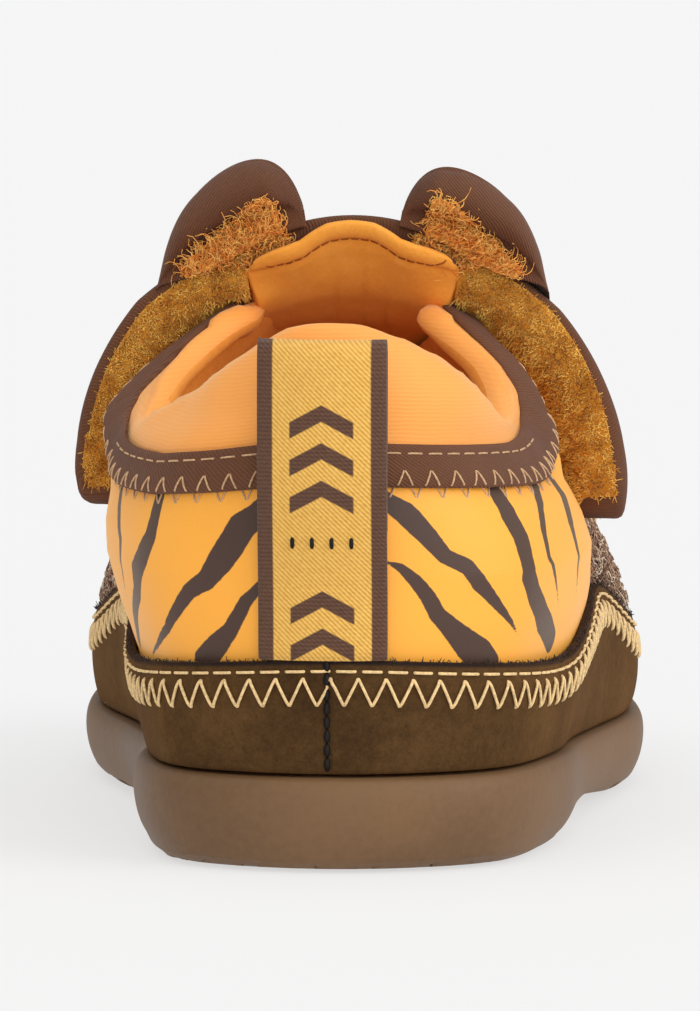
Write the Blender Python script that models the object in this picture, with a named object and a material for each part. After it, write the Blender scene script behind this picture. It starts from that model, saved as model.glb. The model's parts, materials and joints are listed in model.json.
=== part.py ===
"""A toddler's closed shoe, right foot, with a heel pull loop and an eared strap over the instep.

It is put together as a maker would: a moulded sole, an insole, one hollow upper shaped on the last,
a foxing band round its foot, a band round its collar, a folded pull loop at the heel, a tongue flap
over the instep, a padded strap over the flap and two stuffed ears on the strap.

The tables are in millimetres and the meshes in metres. +Y points to the toe, +X to the outer side
of the foot and +Z up. The origin is on the floor, under the middle of the shoe.
"""

import math
from collections import namedtuple

import bmesh
import bpy
import numpy as np
from mathutils import Vector
from mathutils.bvhtree import BVHTree

MM = 0.001

# Driving sizes in millimetres
LENGTH = 156.0  # sole, heel to toe
BALL = 73.0  # sole width over the ball of the foot
HEEL = 54.0  # sole width over the heel
BACK = 66.7  # padded heel collar over the floor
QUARTER = 64.7  # front corners of the quarters over the floor
COLLAR_DIP = 53.4  # lowest place of the collar, under the ankle
THROAT = 54.4  # front end of the opening over the floor
END_INNER = 37.5  # lower ends of the strap over the floor
END_OUTER = 35.9

# Thicknesses and clearances
GAP = 0.3  # between two pieces that touch
WALL = 2.4  # upper: cloth, foam and lining
PAD_WALL = 2.0  # extra foam inside the padded heel collar
FOXING = 1.5
BAND = 1.1
BAND_WIDTH = 5.4
INSOLE = 3.0
TONGUE = 3.0
STRAP = 3.2
TAPE = 1.2
TAPE_WIDTH = 15.8
FEATHER = 3.6  # the upper's foot stands this far inside the sole's edge

# Mesh counts
COLUMNS = 76  # round the shoe, with the heel at 0 and the toe at half
WALL_ROWS = 12
INNER_ROWS = 8

# The last, station by station round the sole's edge from the heel by the outer side.
# x, y: the sole's edge. rim_x, rim_y, rim_z: the edge of the opening.
# low_out, low_up: handle of the wall's curve at its foot. high_out, high_down: handle at the rim.
# fox: top of the foxing over the floor. band: top of the collar band under the rim. pad: swell.
Station = namedtuple(
    "Station",
    "name x y rim_x rim_y rim_z low_out low_up high_out high_down fox band pad",
)
LAST = [
    Station("heel back", 0, 0, 0, 5.5, BACK, 3.2, 18, 4.5, 20, 26.2, 14.4, 1.0),
    Station("outer heel corner", 0.38 * HEEL, 8, 17.0, 12.4, 61.8, 3.2, 16, 3.2, 17, 25.0, 9.6, 0.9),
    Station("outer heel side", 0.515 * HEEL, 28, 26.0, 31.5, COLLAR_DIP, 3.4, 14, 2.6, 13, 23.8, 0.9, 0.2),
    Station("outer waist", 29.8, 50, 20.8, 50, 58.5, 5.0, 13, 8.4, 11, 26.8, 0.6, 0),
    Station("outer crest", 32.4, 67, 11.4, 60, QUARTER, 4.8, 14, 13, 8, 28.8, 0.6, 0),
    Station("outer ball", 0.497 * BALL, 94, 12.2, 72, 61.6, 5.0, 11, 13, 11, 21.8, 0.6, 0),
    Station("outer toe", 0.43 * BALL, 125, 8.5, 83, 57.6, 3.0, 13, 22, 10, 21.4, 0.6, 0),
    Station("outer toe corner", 0.27 * BALL, 147.5, 4.5, 87.6, 55.4, 2.4, 18, 34, 9, 22.6, 0.6, 0),
    Station("toe tip", -1.5, LENGTH, 0, 89, THROAT, 2.0, 22, 38, 7, 24.6, 0.6, 0),
    Station("inner toe corner", -0.315 * BALL, 149, -4.5, 87.6, 55.4, 2.4, 18, 34, 9, 22.6, 0.6, 0),
    Station("inner toe", -0.467 * BALL, 129, -8.5, 83, 57.6, 3.0, 13, 22, 10, 21.4, 0.6, 0),
    Station("inner ball", -0.5 * BALL, 101, -12.9, 72, 61.6, 4.2, 11, 13, 11, 21.8, 0.6, 0),
    Station("inner crest", -29.6, 70, -13.2, 60, QUARTER, 5.0, 14, 12.5, 8, 28.8, 0.6, 0),
    Station("inner waist", -26, 50, -21.6, 50, 58.5, 5.6, 13, 8.2, 11, 26.8, 0.6, 0),
    Station("inner heel side", -0.485 * HEEL, 28, -26.2, 31.5, COLLAR_DIP, 3.4, 14, 2.6, 13, 23.8, 0.9, 0.2),
    Station("inner heel corner", -0.375 * HEEL, 8, -17.6, 12.4, 61.8, 3.2, 16, 3.2, 17, 25.0, 9.6, 0.9),
]
TOE_TIP = 8  # row of the toe in the table
FRONT_CORNERS = (4, 12)  # rows where the quarters end, at the collar's front

# The sole, section by section along the foot: height of its underside and of its top edge
SoleSection = namedtuple("SoleSection", "y foot top")
SOLE = [
    SoleSection(0, 0, 11.7),
    SoleSection(14, 0, 11.6),
    SoleSection(38, 0, 11.1),
    SoleSection(60, 1.7, 10.3),
    SoleSection(84, 0, 9.6),
    SoleSection(114, 0, 9.7),
    SoleSection(136, 2.0, 11.1),
    SoleSection(LENGTH, 6.4, 14.8),
]

# The sole's side, from the platform under the insole to the tread: inset from the edge, share of the height
SideRow = namedtuple("SideRow", "inset share")
SOLE_SIDE = [
    SideRow(9.0, 1.0),
    SideRow(1.7, 1.0),
    SideRow(0.7, 0.96),
    SideRow(0.1, 0.84),
    SideRow(0.0, 0.62),
    SideRow(0.4, 0.36),
    SideRow(1.4, 0.14),
    SideRow(3.0, 0.02),
    SideRow(4.6, 0.0),
    SideRow(12.0, 0.0),
]

# Tread: slots from the back of the heel forward, and slots across the ball
SLOT_WIDTH = 1.8
SLOT_DEPTH = 1.0
HEEL_SLOTS = (-17.5, -10.5, -3.5, 3.5, 10.5, 17.5)
HEEL_SLOT_END = 16.0
BALL_SLOTS = (82.0, 90.0, 98.0, 106.0, 114.0)

# Flap and strap are drawn on rays round a line under the instep
AXIS_Y = 59.0
AXIS_Z = 39.2
AXIS_FALL = 0.42  # how much the line falls for each millimetre towards the toe
FAR = 90.0

TongueRow = namedtuple("TongueRow", "y crown half_angle")
TONGUE_FLAP = [
    TongueRow(55.0, 31.0, 21.5),
    TongueRow(56.5, 31.1, 23.0),
    TongueRow(60.0, 31.1, 25.0),
    TongueRow(66.0, 30.6, 26.0),
    TongueRow(73.0, 30.0, 26.0),
    TongueRow(80.0, 29.2, 25.5),
    TongueRow(87.0, 28.6, 24.5),
    TongueRow(91.0, 28.4, 22.0),
    TongueRow(93.0, 28.4, 18.0),
]
TONGUE_DROP = 2.9  # the flap's sides lie this much nearer the line than its crown
TONGUE_DROP_ANGLE = 25.0
TONGUE_COLUMNS = 15

STRAP_BACK = 59.0  # the strap's rear edge
STRAP_FRONT = 96.0
STRAP_END_FRONT = 89.0  # its front edge at the lower ends
STRAP_REAR_RADIUS = 32.6  # its rear edge stands off the quarters, on this radius
STRAP_SIDE = -0.8  # the rear edge's middle
STRAP_CORNER = 7.0  # rounding of its lower corners
STRAP_ROWS = 9
STRAP_COLUMNS = 37

# The ears, along the strap's rear edge: angle from the crown and height over the strap
EarRow = namedtuple("EarRow", "angle height")
EAR = [
    EarRow(9.4, 1.0),
    EarRow(10.2, 4.4),
    EarRow(11.8, 7.0),
    EarRow(14.2, 8.7),
    EarRow(18.0, 9.3),
    EarRow(22.6, 8.8),
    EarRow(27.6, 7.4),
    EarRow(33.0, 5.4),
    EarRow(38.4, 3.0),
    EarRow(42.5, 0.9),
]
EAR_BACK = 58.6
EAR_THICK = 8.6
EAR_DISH = 1.5
EAR_LEAN = 0.16  # rearward lean for each millimetre of height
EAR_ARC = 9  # points over the top of one section

# The pull loop, from the foxing up to its fold and down again inside to its tack
LOOP_FOOT = 27.1
LOOP_TACK = 40.7
LOOP_FOLD = 63.1
LOOP_OPEN = 2.2
LOOP_SIDE = -1.5  # the loop sits a little to the inner side of the middle
LOOP_UPRIGHT = 52.2  # above this height the tape stays upright while the heel leans forward
LOOP_LEAN = 0.3
TAPE_STEPS = 6

COLOURS = {
    "outsole": ((0.20, 0.115, 0.066), 0.62),
    "insole": ((0.62, 0.24, 0.025), 0.9),
    "upper": ((0.95, 0.42, 0.06), 0.55),
    "foxing": ((0.072, 0.038, 0.014), 0.92),
    "collar_band": ((0.105, 0.047, 0.030), 0.85),
    "pull_loop": ((0.60, 0.36, 0.06), 0.8),
    "tongue_flap": ((0.55, 0.20, 0.02), 0.9),
    "strap": ((0.095, 0.042, 0.026), 0.85),
    "ear_outer": ((0.095, 0.042, 0.026), 0.85),
    "ear_inner": ((0.095, 0.042, 0.026), 0.85),
}


def hermite(knots, values, at):
    """A smooth curve through values at knots, with tangents from the neighbouring spans."""
    knots = np.asarray(knots, float)
    values = np.asarray(values, float)
    span = np.diff(knots)
    slope = np.diff(values) / span
    tangent = np.empty_like(values)
    tangent[1:-1] = (span[1:] * slope[:-1] + span[:-1] * slope[1:]) / (span[1:] + span[:-1])
    tangent[0] = slope[0]
    tangent[-1] = slope[-1]
    i = np.clip(np.searchsorted(knots, at, side="right") - 1, 0, len(span) - 1)
    h = span[i]
    q = np.clip((at - knots[i]) / h, 0.0, 1.0)
    low = (1 + 2 * q) * (1 - q) ** 2 * values[i] + q * (1 - q) ** 2 * h * tangent[i]
    high = q**2 * (3 - 2 * q) * values[i + 1] - q**2 * (1 - q) * h * tangent[i + 1]
    return low + high


def station_distances():
    """Distance of each station from the heel round the sole's edge, and the whole way round."""
    plan = np.array([(row.x, row.y) for row in LAST], float)
    steps = np.linalg.norm(np.roll(plan, -1, axis=0) - plan, axis=1)
    return np.concatenate([[0.0], np.cumsum(steps)])


DISTANCES = station_distances()
WAY_ROUND = DISTANCES[-1]


def around(column, s):
    """One column of the last as a smooth closed curve, at distance s round the sole."""
    values = np.array([getattr(row, column) for row in LAST], float)
    knots = np.concatenate([DISTANCES[:-1] - WAY_ROUND, DISTANCES[:-1], DISTANCES + WAY_ROUND])
    return hermite(knots, np.concatenate([values, values, values, values[:1]]), np.mod(s, WAY_ROUND))


def sole_height(column, y):
    """Height of the sole's foot or top at y along the foot."""
    values = hermite([row.y for row in SOLE], [getattr(row, column) for row in SOLE], y)
    return np.maximum(values, 0.0)


def edge(s):
    """The sole's edge in plan."""
    return np.stack([around("x", s), around("y", s)], axis=-1)


def outward(s):
    """Level direction that points away from the shoe at distance s."""
    step = 0.5
    along = edge(s + step) - edge(s - step)
    along /= np.linalg.norm(along, axis=-1, keepdims=True)
    return np.stack([along[..., 1], -along[..., 0], np.zeros_like(along[..., 0])], axis=-1)


def columns_round():
    """Distances of the mesh columns: the heel is the first, and the toe tip is half way."""
    half = COLUMNS // 2
    toe = DISTANCES[TOE_TIP]
    outer = np.linspace(0.0, toe, half, endpoint=False)
    inner = np.linspace(toe, WAY_ROUND, half, endpoint=False)
    return np.concatenate([outer, inner])


def inset_ring(s, inset, height):
    """Points inside the sole's edge by inset, at the height that the function gives for their y."""
    plan = edge(s) - outward(s)[..., :2] * inset
    return np.column_stack([plan, height(plan[:, 1])])


def wall_line(s, t):
    """The upper's outer face before any swell: share t of the way up from the foot to the rim."""
    n = outward(s)
    plan = edge(s)
    foot = np.stack([plan[..., 0], plan[..., 1], np.zeros_like(plan[..., 0])], axis=-1) - n * FEATHER
    foot[..., 2] = sole_height("top", foot[..., 1]) + GAP
    rim = np.stack([around("rim_x", s), around("rim_y", s), around("rim_z", s)], axis=-1)
    up = np.array([0.0, 0.0, 1.0])
    low = foot + n * around("low_out", s)[..., None] + up * around("low_up", s)[..., None]
    high = rim + n * around("high_out", s)[..., None] - up * around("high_down", s)[..., None]
    t = np.asarray(t, float)[..., None]
    return (1 - t) ** 3 * foot + 3 * (1 - t) ** 2 * t * low + 3 * (1 - t) * t**2 * high + t**3 * rim


def wall_normal(s, t):
    """Outward direction of the upper's face. At its foot it is level, so that the foot stays flat."""
    ds, dt = 0.4, 0.012
    across = wall_line(s + ds, t) - wall_line(s - ds, t)
    upward = wall_line(s, np.minimum(t + dt, 1.0)) - wall_line(s, np.maximum(t - dt, 0.0))
    n = np.cross(across, upward)
    n[..., 2] *= np.clip(t / 0.05, 0.0, 1.0)
    return n / np.linalg.norm(n, axis=-1, keepdims=True)


def wall(s, t, lift):
    """The upper's face moved out by lift. Its foot stays on the sole's top."""
    points = wall_line(s, t) + wall_normal(s, t) * np.asarray(lift, float)[..., None]
    on_sole = sole_height("top", points[..., 1]) + GAP
    points[..., 2] = np.where(t <= 0.0, on_sole, points[..., 2])
    return points


def share_below_rim(s, distance):
    """Share t of the place that lies distance under the rim, measured on the upper's face."""
    t = np.linspace(1.0, 0.0, 81)
    found = np.empty(len(s))
    for k in range(len(s)):
        line = wall_line(np.full_like(t, s[k]), t)
        run = np.concatenate([[0.0], np.cumsum(np.linalg.norm(np.diff(line, axis=0), axis=1))])
        found[k] = np.interp(distance[k], run, t)
    return found


def share_at_height(s, height):
    """Share t of the place that lies height over the floor."""
    t = np.linspace(0.0, 1.0, 81)
    found = np.empty(len(s))
    for k in range(len(s)):
        found[k] = np.interp(height[k], wall_line(np.full_like(t, s[k]), t)[:, 2], t)
    return found


def pad_swell(s, t):
    """Share of the padded heel's swell: none at the collar band's top and at the rim, most half way."""
    top = share_below_rim(s, np.maximum(around("band", s), 0.6))
    share = np.clip((t - top) / np.maximum(1.0 - top, 0.01), 0.0, 1.0)
    return np.sin(np.pi * share) ** 0.8


def grid_faces(rows, columns, close_rows, close_columns):
    """Quads over a grid of points numbered row by row."""
    faces = []
    for r in range(rows if close_rows else rows - 1):
        for c in range(columns if close_columns else columns - 1):
            r2, c2 = (r + 1) % rows, (c + 1) % columns
            faces.append((r * columns + c, r * columns + c2, r2 * columns + c2, r2 * columns + c))
    return faces


def zip_faces(ring, paired_ends):
    """Faces across a ring: each point with its opposite. Unpaired ends are single points."""
    count = len(ring)
    faces = []
    if paired_ends:
        for k in range(count // 2 - 1):
            faces.append((ring[k], ring[k + 1], ring[count - 2 - k], ring[count - 1 - k]))
        return faces
    half = count // 2
    faces.append((ring[0], ring[1], ring[count - 1]))
    for k in range(1, half - 1):
        faces.append((ring[k], ring[k + 1], ring[count - k - 1], ring[count - k]))
    faces.append((ring[half - 1], ring[half], ring[half + 1]))
    return faces


def material(name):
    colour, roughness = COLOURS[name]
    made = bpy.data.materials.new(name)
    made.use_nodes = True
    shader = made.node_tree.nodes["Principled BSDF"]
    shader.inputs["Base Color"].default_value = (*colour, 1.0)
    shader.inputs["Roughness"].default_value = roughness
    shader.inputs["Metallic"].default_value = 0.0
    return made


def solid(name, points, faces):
    """One closed object from points in millimetres."""
    mesh = bpy.data.meshes.new(name)
    mesh.from_pydata((np.asarray(points) * MM).tolist(), [], faces)
    shell = bmesh.new()
    shell.from_mesh(mesh)
    bmesh.ops.recalc_face_normals(shell, faces=shell.faces)
    shell.to_mesh(mesh)
    shell.free()
    mesh.shade_smooth()
    mesh.set_sharp_from_angle(angle=math.radians(40))
    mesh.materials.append(material(name))
    made = bpy.data.objects.new(name, mesh)
    bpy.context.scene.collection.objects.link(made)
    return made


def closed_shell(name, rings):
    """A solid whose rings run all the way round, and whose last ring meets the first."""
    rings = np.asarray(rings)
    return solid(name, rings.reshape(-1, 3), grid_faces(*rings.shape[:2], True, True))


def open_sweep(name, sections):
    """A solid swept through closed sections of an even count, with both ends filled."""
    sections = np.asarray(sections)
    count, around_count = sections.shape[:2]
    faces = grid_faces(count, around_count, False, True)
    first = list(range(around_count))
    last = [(count - 1) * around_count + k for k in first]
    faces += zip_faces(first, True) + zip_faces(last, True)
    return solid(name, sections.reshape(-1, 3), faces)


def slab(name, upper, lower):
    """A bent plate from two grids of the same size, joined round their edges."""
    upper, lower = np.asarray(upper), np.asarray(lower)
    rows, columns = upper.shape[:2]
    under = rows * columns
    faces = grid_faces(rows, columns, False, False)
    faces += [tuple(under + k for k in reversed(face)) for face in faces]
    rim = [c for c in range(columns)]
    rim += [r * columns + columns - 1 for r in range(1, rows)]
    rim += [(rows - 1) * columns + c for c in range(columns - 2, -1, -1)]
    rim += [r * columns for r in range(rows - 2, 0, -1)]
    for k, here in enumerate(rim):
        there = rim[(k + 1) % len(rim)]
        faces.append((here, under + here, under + there, there))
    return solid(name, np.concatenate([upper.reshape(-1, 3), lower.reshape(-1, 3)]), faces)


def stacked_plate(name, rings):
    """A flat solid from stacked rings round the shoe, filled across its first and last ring."""
    rings = np.asarray(rings)
    count, columns = rings.shape[:2]
    faces = grid_faces(count, columns, False, True)
    first = list(range(columns))
    last = [(count - 1) * columns + k for k in first]
    faces += zip_faces(first, False) + zip_faces(last, False)
    return solid(name, rings.reshape(-1, 3), faces)


def box_cutter(name, boxes):
    """Boxes in one hidden object, each given by its lowest and highest corner."""
    points, faces = [], []
    for low, high in boxes:
        first = len(points)
        for z in (low[2], high[2]):
            points += [(low[0], low[1], z), (high[0], low[1], z), (high[0], high[1], z), (low[0], high[1], z)]
        sides = [(0, 3, 2, 1), (4, 5, 6, 7), (0, 1, 5, 4), (1, 2, 6, 5), (2, 3, 7, 6), (3, 0, 4, 7)]
        faces += [tuple(first + k for k in side) for side in sides]
    mesh = bpy.data.meshes.new(name)
    mesh.from_pydata((np.array(points) * MM).tolist(), [], faces)
    cutter = bpy.data.objects.new(name, mesh)
    bpy.context.scene.collection.objects.link(cutter)
    cutter.hide_render = True
    cutter.display_type = "WIRE"
    return cutter


def tree_of(*objects):
    """One search tree over the faces of some objects, in millimetres."""
    points, faces = [], []
    for obj in objects:
        first = len(points)
        points += [v.co / MM for v in obj.data.vertices]
        faces += [[first + k for k in face.vertices] for face in obj.data.polygons]
    return BVHTree.FromPolygons(points, faces)


def make_outsole(s):
    def ring(row):
        def height(y):
            foot, top = sole_height("foot", y), sole_height("top", y)
            return foot + (top - foot) * row.share

        return inset_ring(s, row.inset, height)

    sole = stacked_plate("outsole", [ring(row) for row in SOLE_SIDE])
    half = SLOT_WIDTH / 2
    below = -SLOT_DEPTH
    slots = [((x - half, -8.0, below), (x + half, HEEL_SLOT_END, SLOT_DEPTH)) for x in HEEL_SLOTS]
    slots += [((-BALL, y - half, below), (BALL, y + half, SLOT_DEPTH)) for y in BALL_SLOTS]
    cutter = box_cutter("tread_slots", slots)
    cut = sole.modifiers.new("tread", "BOOLEAN")
    cut.operation = "DIFFERENCE"
    cut.solver = "EXACT"
    cut.object = cutter
    return sole, cutter


def make_insole(s):
    inset = FEATHER + WALL + GAP
    lift = GAP + 0.1
    rings = [
        inset_ring(s, 14.0, lambda y: sole_height("top", y) + lift),
        inset_ring(s, inset + 0.5, lambda y: sole_height("top", y) + lift),
        inset_ring(s, inset, lambda y: sole_height("top", y) + lift + 0.8),
        inset_ring(s, inset, lambda y: sole_height("top", y) + lift + INSOLE - 0.8),
        inset_ring(s, inset + 0.8, lambda y: sole_height("top", y) + lift + INSOLE),
        inset_ring(s, 14.0, lambda y: sole_height("top", y) + lift + INSOLE - 0.6),
    ]
    return stacked_plate("insole", rings)


def make_upper(s):
    swell = np.maximum(around("pad", s), 0.0)
    rings = []
    for t in np.linspace(0.0, 1.0, WALL_ROWS + 1):
        here = np.full_like(s, t)
        rings.append(wall(s, here, swell * pad_swell(s, here)))
    over = wall_line(s, np.ones_like(s)) - wall_line(s, np.full_like(s, 0.985))
    over /= np.linalg.norm(over, axis=1, keepdims=True)
    rings.append(wall(s, np.ones_like(s), -0.5 * WALL * np.ones_like(s)) + over * 0.9)
    for t in np.linspace(1.0, 0.0, INNER_ROWS + 1):
        here = np.full_like(s, t)
        foam = PAD_WALL * np.clip(swell, 0.0, 1.0) * pad_swell(s, here)
        rings.append(wall(s, here, -(WALL + foam)))
    return closed_shell("upper", rings)


def make_foxing(s):
    top = share_at_height(s, around("fox", s))
    outer, inner = [], []
    for k in np.linspace(0.0, 1.0, 6):
        here = top * k
        edge_round = 0.35 if k == 1.0 else 0.0
        outer.append(wall(s, here, np.full_like(s, GAP + FOXING - edge_round)))
        inner.append(wall(s, here, np.full_like(s, GAP)))
    return closed_shell("foxing", outer + inner[::-1])


def make_collar_band():
    outer_end, inner_end = (DISTANCES[k] for k in FRONT_CORNERS)
    s = np.linspace(inner_end - 4.0, WAY_ROUND + outer_end + 4.0, 49)
    high = np.maximum(around("band", s), 0.6)
    sections = []
    steps = np.array([0.0, 0.12, 0.5, 0.88, 1.0])
    lifts = np.array([GAP + 0.55 * BAND, GAP + BAND, GAP + BAND, GAP + BAND, GAP + 0.55 * BAND])
    for step, lift in zip(steps, lifts):
        t = share_below_rim(s, high + BAND_WIDTH * (1 - step))
        sections.append(wall(s, t, np.full_like(s, lift)))
    for step in steps[::-1]:
        t = share_below_rim(s, high + BAND_WIDTH * (1 - step))
        sections.append(wall(s, t, np.full_like(s, GAP + 0.1)))
    return open_sweep("collar_band", np.swapaxes(np.array(sections), 0, 1))


def axis_height(y):
    return AXIS_Z - AXIS_FALL * (y - AXIS_Y)


def ray_radius(tree, y, angle):
    """How far the outermost surface lies from the line under the instep, on a ray at angle."""
    aim = Vector((math.sin(angle), 0.0, math.cos(angle)))
    start = Vector((0.0, y, axis_height(y))) + aim * FAR
    hit = tree.ray_cast(start, -aim, FAR)
    return FAR - hit[3] if hit[0] else 0.0


def clear_radius(tree, y, angle):
    """The largest radius met close round a place, so that a coarse grid clears what lies between."""
    near = math.radians(2.2)
    return max(ray_radius(tree, y + dy, angle + da) for dy in (-2.0, 0.0, 2.0) for da in (-near, 0.0, near))


def on_ray(y, angle, radius):
    return (radius * math.sin(angle), y, axis_height(y) + radius * math.cos(angle))


def stretched(least, rounds):
    """A taut sheet over a row of heights: smooth, and nowhere under them."""
    sheet = np.array(least, float)
    for _ in range(rounds):
        sheet[1:-1] = np.maximum(least[1:-1], 0.5 * (sheet[:-2] + sheet[2:]))
    return sheet


def make_tongue_flap(tree):
    upper, lower = [], []
    last = len(TONGUE_FLAP) - 1
    for k, row in enumerate(TONGUE_FLAP):
        angles = np.radians(np.linspace(-row.half_angle, row.half_angle, TONGUE_COLUMNS))
        sides = np.abs(np.degrees(angles)) / TONGUE_DROP_ANGLE
        arch = row.crown - TONGUE_DROP * sides**2
        rest = np.array([clear_radius(tree, row.y, a) for a in angles]) + GAP
        inside = stretched(np.maximum(arch, rest), 12)
        edge_share = np.abs(np.linspace(-1.0, 1.0, TONGUE_COLUMNS)) ** 6
        thin_end = 0.45 if k in (0, last) else 1.0
        thick = TONGUE * (1.0 - 0.5 * edge_share) * thin_end
        inside += 0.5 * TONGUE * (1.0 - thin_end) * (k == 0)
        upper.append([on_ray(row.y, a, r + d) for a, r, d in zip(angles, inside, thick)])
        lower.append([on_ray(row.y, a, r) for a, r in zip(angles, inside)])
    return slab("tongue_flap", upper, lower)


def strap_grid(tree):
    """Places, angles and inner radii of the strap, row by row from its rear edge to its front."""
    shares = 0.5 - 0.5 * np.cos(np.linspace(0.0, np.pi, STRAP_ROWS))
    spread = np.linspace(-1.0, 1.0, STRAP_COLUMNS)
    ends = np.where(spread < 0.0, END_INNER, END_OUTER)
    grid = []
    standoff = None
    for share in shares:
        front = STRAP_FRONT + (STRAP_END_FRONT - STRAP_FRONT) * np.abs(spread) ** 3
        along = STRAP_BACK + (front - STRAP_BACK) * share
        corner = ends + STRAP_CORNER * (1.0 - math.sqrt(1.0 - abs(2.0 * share - 1.0) ** 4))
        middle = axis_height(float(np.mean(along)))
        end_angle = np.arccos(np.clip((corner - middle) / STRAP_REAR_RADIUS, -1.0, 1.0))
        angles = spread * end_angle
        rest = np.array([clear_radius(tree, y, a) for y, a in zip(along, angles)]) + GAP
        lying = stretched(rest, 60)
        if standoff is None:
            standoff = np.maximum(STRAP_REAR_RADIUS + STRAP_SIDE * np.sin(angles) - lying, 0.0)
        grid.append((along, angles, lying + standoff * (1.0 - share) ** 1.7))
    return grid


def make_strap(grid):
    upper, lower = [], []
    edge_share = np.abs(np.linspace(-1.0, 1.0, STRAP_COLUMNS)) ** 14
    for k, (along, angles, inside) in enumerate(grid):
        end_row = 0.72 if k in (0, len(grid) - 1) else 1.0
        thick = STRAP * end_row * (1.0 - 0.35 * edge_share)
        upper.append([on_ray(*place) for place in zip(along, angles, inside + thick)])
        lower.append([on_ray(*place) for place in zip(along, angles, inside)])
    return slab("strap", upper, lower)


def make_ear(name, side, tree):
    """A stuffed ear on the strap's rear edge. Its sections stand on the strap's outer face."""
    sections = []
    tallest = max(row.height for row in EAR)
    for row in EAR:
        angle = math.radians(row.angle) * side
        thick = 2.2 + (EAR_THICK - 2.2) * math.sqrt(row.height / tallest)
        lean = EAR_LEAN * row.height
        section = []
        for k in range(EAR_ARC + 1):
            turn = math.pi * k / EAR_ARC
            rise = row.height * math.sin(turn) ** 0.75
            back = 0.5 * (1.0 + math.cos(turn))
            dish = EAR_DISH * (row.height / tallest) * math.sin(2.0 * turn) if turn < math.pi / 2 else 0.0
            y = EAR_BACK + thick * (1.0 - back) - lean * (rise / row.height) + dish
            base = ray_radius(tree, max(y, STRAP_BACK + 1.5), angle) + GAP + 0.3
            section.append(on_ray(y, angle, base + rise))
        sections.append(section)
    return open_sweep(name, sections)


def loop_path():
    """The tape's middle line: height, and distance off the heel, from its foot over the fold to its tack."""
    half = TAPE / 2
    near = GAP + 0.1 + half
    lower = [(LOOP_FOOT, near), (31.2, near), (34.2, near + 0.1), (37.2, near + 0.7)]
    outer = []
    for z in np.linspace(LOOP_TACK, LOOP_FOLD, 8):
        share = (z - LOOP_TACK) / (LOOP_FOLD - LOOP_TACK)
        outer.append((z, near + TAPE + GAP + LOOP_OPEN * math.sin(0.5 * math.pi * share)))
    middle = 0.5 * (outer[-1][1] + near)
    radius = outer[-1][1] - middle
    fold = []
    for turn in np.linspace(0.0, math.pi, 7)[1:-1]:
        fold.append((LOOP_FOLD + radius * math.sin(turn), middle + radius * math.cos(turn)))
    inner = [(z, near) for z in np.linspace(LOOP_FOLD, LOOP_TACK + 0.6, 8)]
    return np.array(lower + outer + fold + inner)


def make_pull_loop(tree):
    path = loop_path()
    run = np.gradient(path, axis=0)
    run /= np.linalg.norm(run, axis=1, keepdims=True)
    side = np.column_stack([-run[:, 1], run[:, 0]])
    faces_of_tape = [path + side * TAPE / 2, path - side * TAPE / 2]
    heights = np.linspace(LOOP_FOOT - 1.0, LOOP_FOLD - 0.5, 60)
    sheets = []
    for face in faces_of_tape:
        sheet = []
        for x in np.linspace(-0.5, 0.5, TAPE_STEPS + 1) * TAPE_WIDTH + LOOP_SIDE:
            hits = np.array([heel_back(tree, x, z) for z in heights])
            back = -stretched(-hits, 200)
            lean = np.interp(LOOP_UPRIGHT, heights, back)
            back = np.where(heights > LOOP_UPRIGHT, lean + LOOP_LEAN * (back - lean), back)
            sheet.append([(x, np.interp(z, heights, back) - d, z) for z, d in face])
        sheets.append(sheet)
    return slab("pull_loop", sheets[0], sheets[1])


def heel_back(tree, x, z):
    """Where a level ray from behind meets the heel."""
    hit = tree.ray_cast(Vector((x, -FAR, z)), Vector((0.0, 1.0, 0.0)))
    return hit[0].y


def centre_on_floor(objects):
    """Parents the pieces to one empty, placed so that the origin lies under the middle of the shoe."""
    corners = []
    for obj in objects:
        corners += [v.co[:] for v in obj.data.vertices]
    corners = np.array(corners)
    low, high = corners.min(axis=0), corners.max(axis=0)
    root = bpy.data.objects.new("shoe", None)
    root.location = (-(low[0] + high[0]) / 2, -(low[1] + high[1]) / 2, -low[2])
    bpy.context.scene.collection.objects.link(root)
    return root


def main():
    for obj in list(bpy.data.objects):
        bpy.data.objects.remove(obj)
    s = columns_round()
    outsole, cutter = make_outsole(s)
    insole = make_insole(s)
    upper = make_upper(s)
    foxing = make_foxing(s)
    collar_band = make_collar_band()
    pull_loop = make_pull_loop(tree_of(upper, collar_band))
    tongue_flap = make_tongue_flap(tree_of(upper, collar_band))
    grid = strap_grid(tree_of(upper, collar_band, tongue_flap))
    strap = make_strap(grid)
    on_strap = tree_of(strap)
    ears = [make_ear("ear_outer", 1, on_strap), make_ear("ear_inner", -1, on_strap)]
    pieces = [outsole, insole, upper, foxing, collar_band, pull_loop, tongue_flap, strap, *ears]
    root = centre_on_floor(pieces)
    for piece in [*pieces, cutter]:
        piece.parent = root


main()
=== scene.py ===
import json
import math

import bpy
import numpy as np
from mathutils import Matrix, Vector
from mathutils.bvhtree import BVHTree

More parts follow.
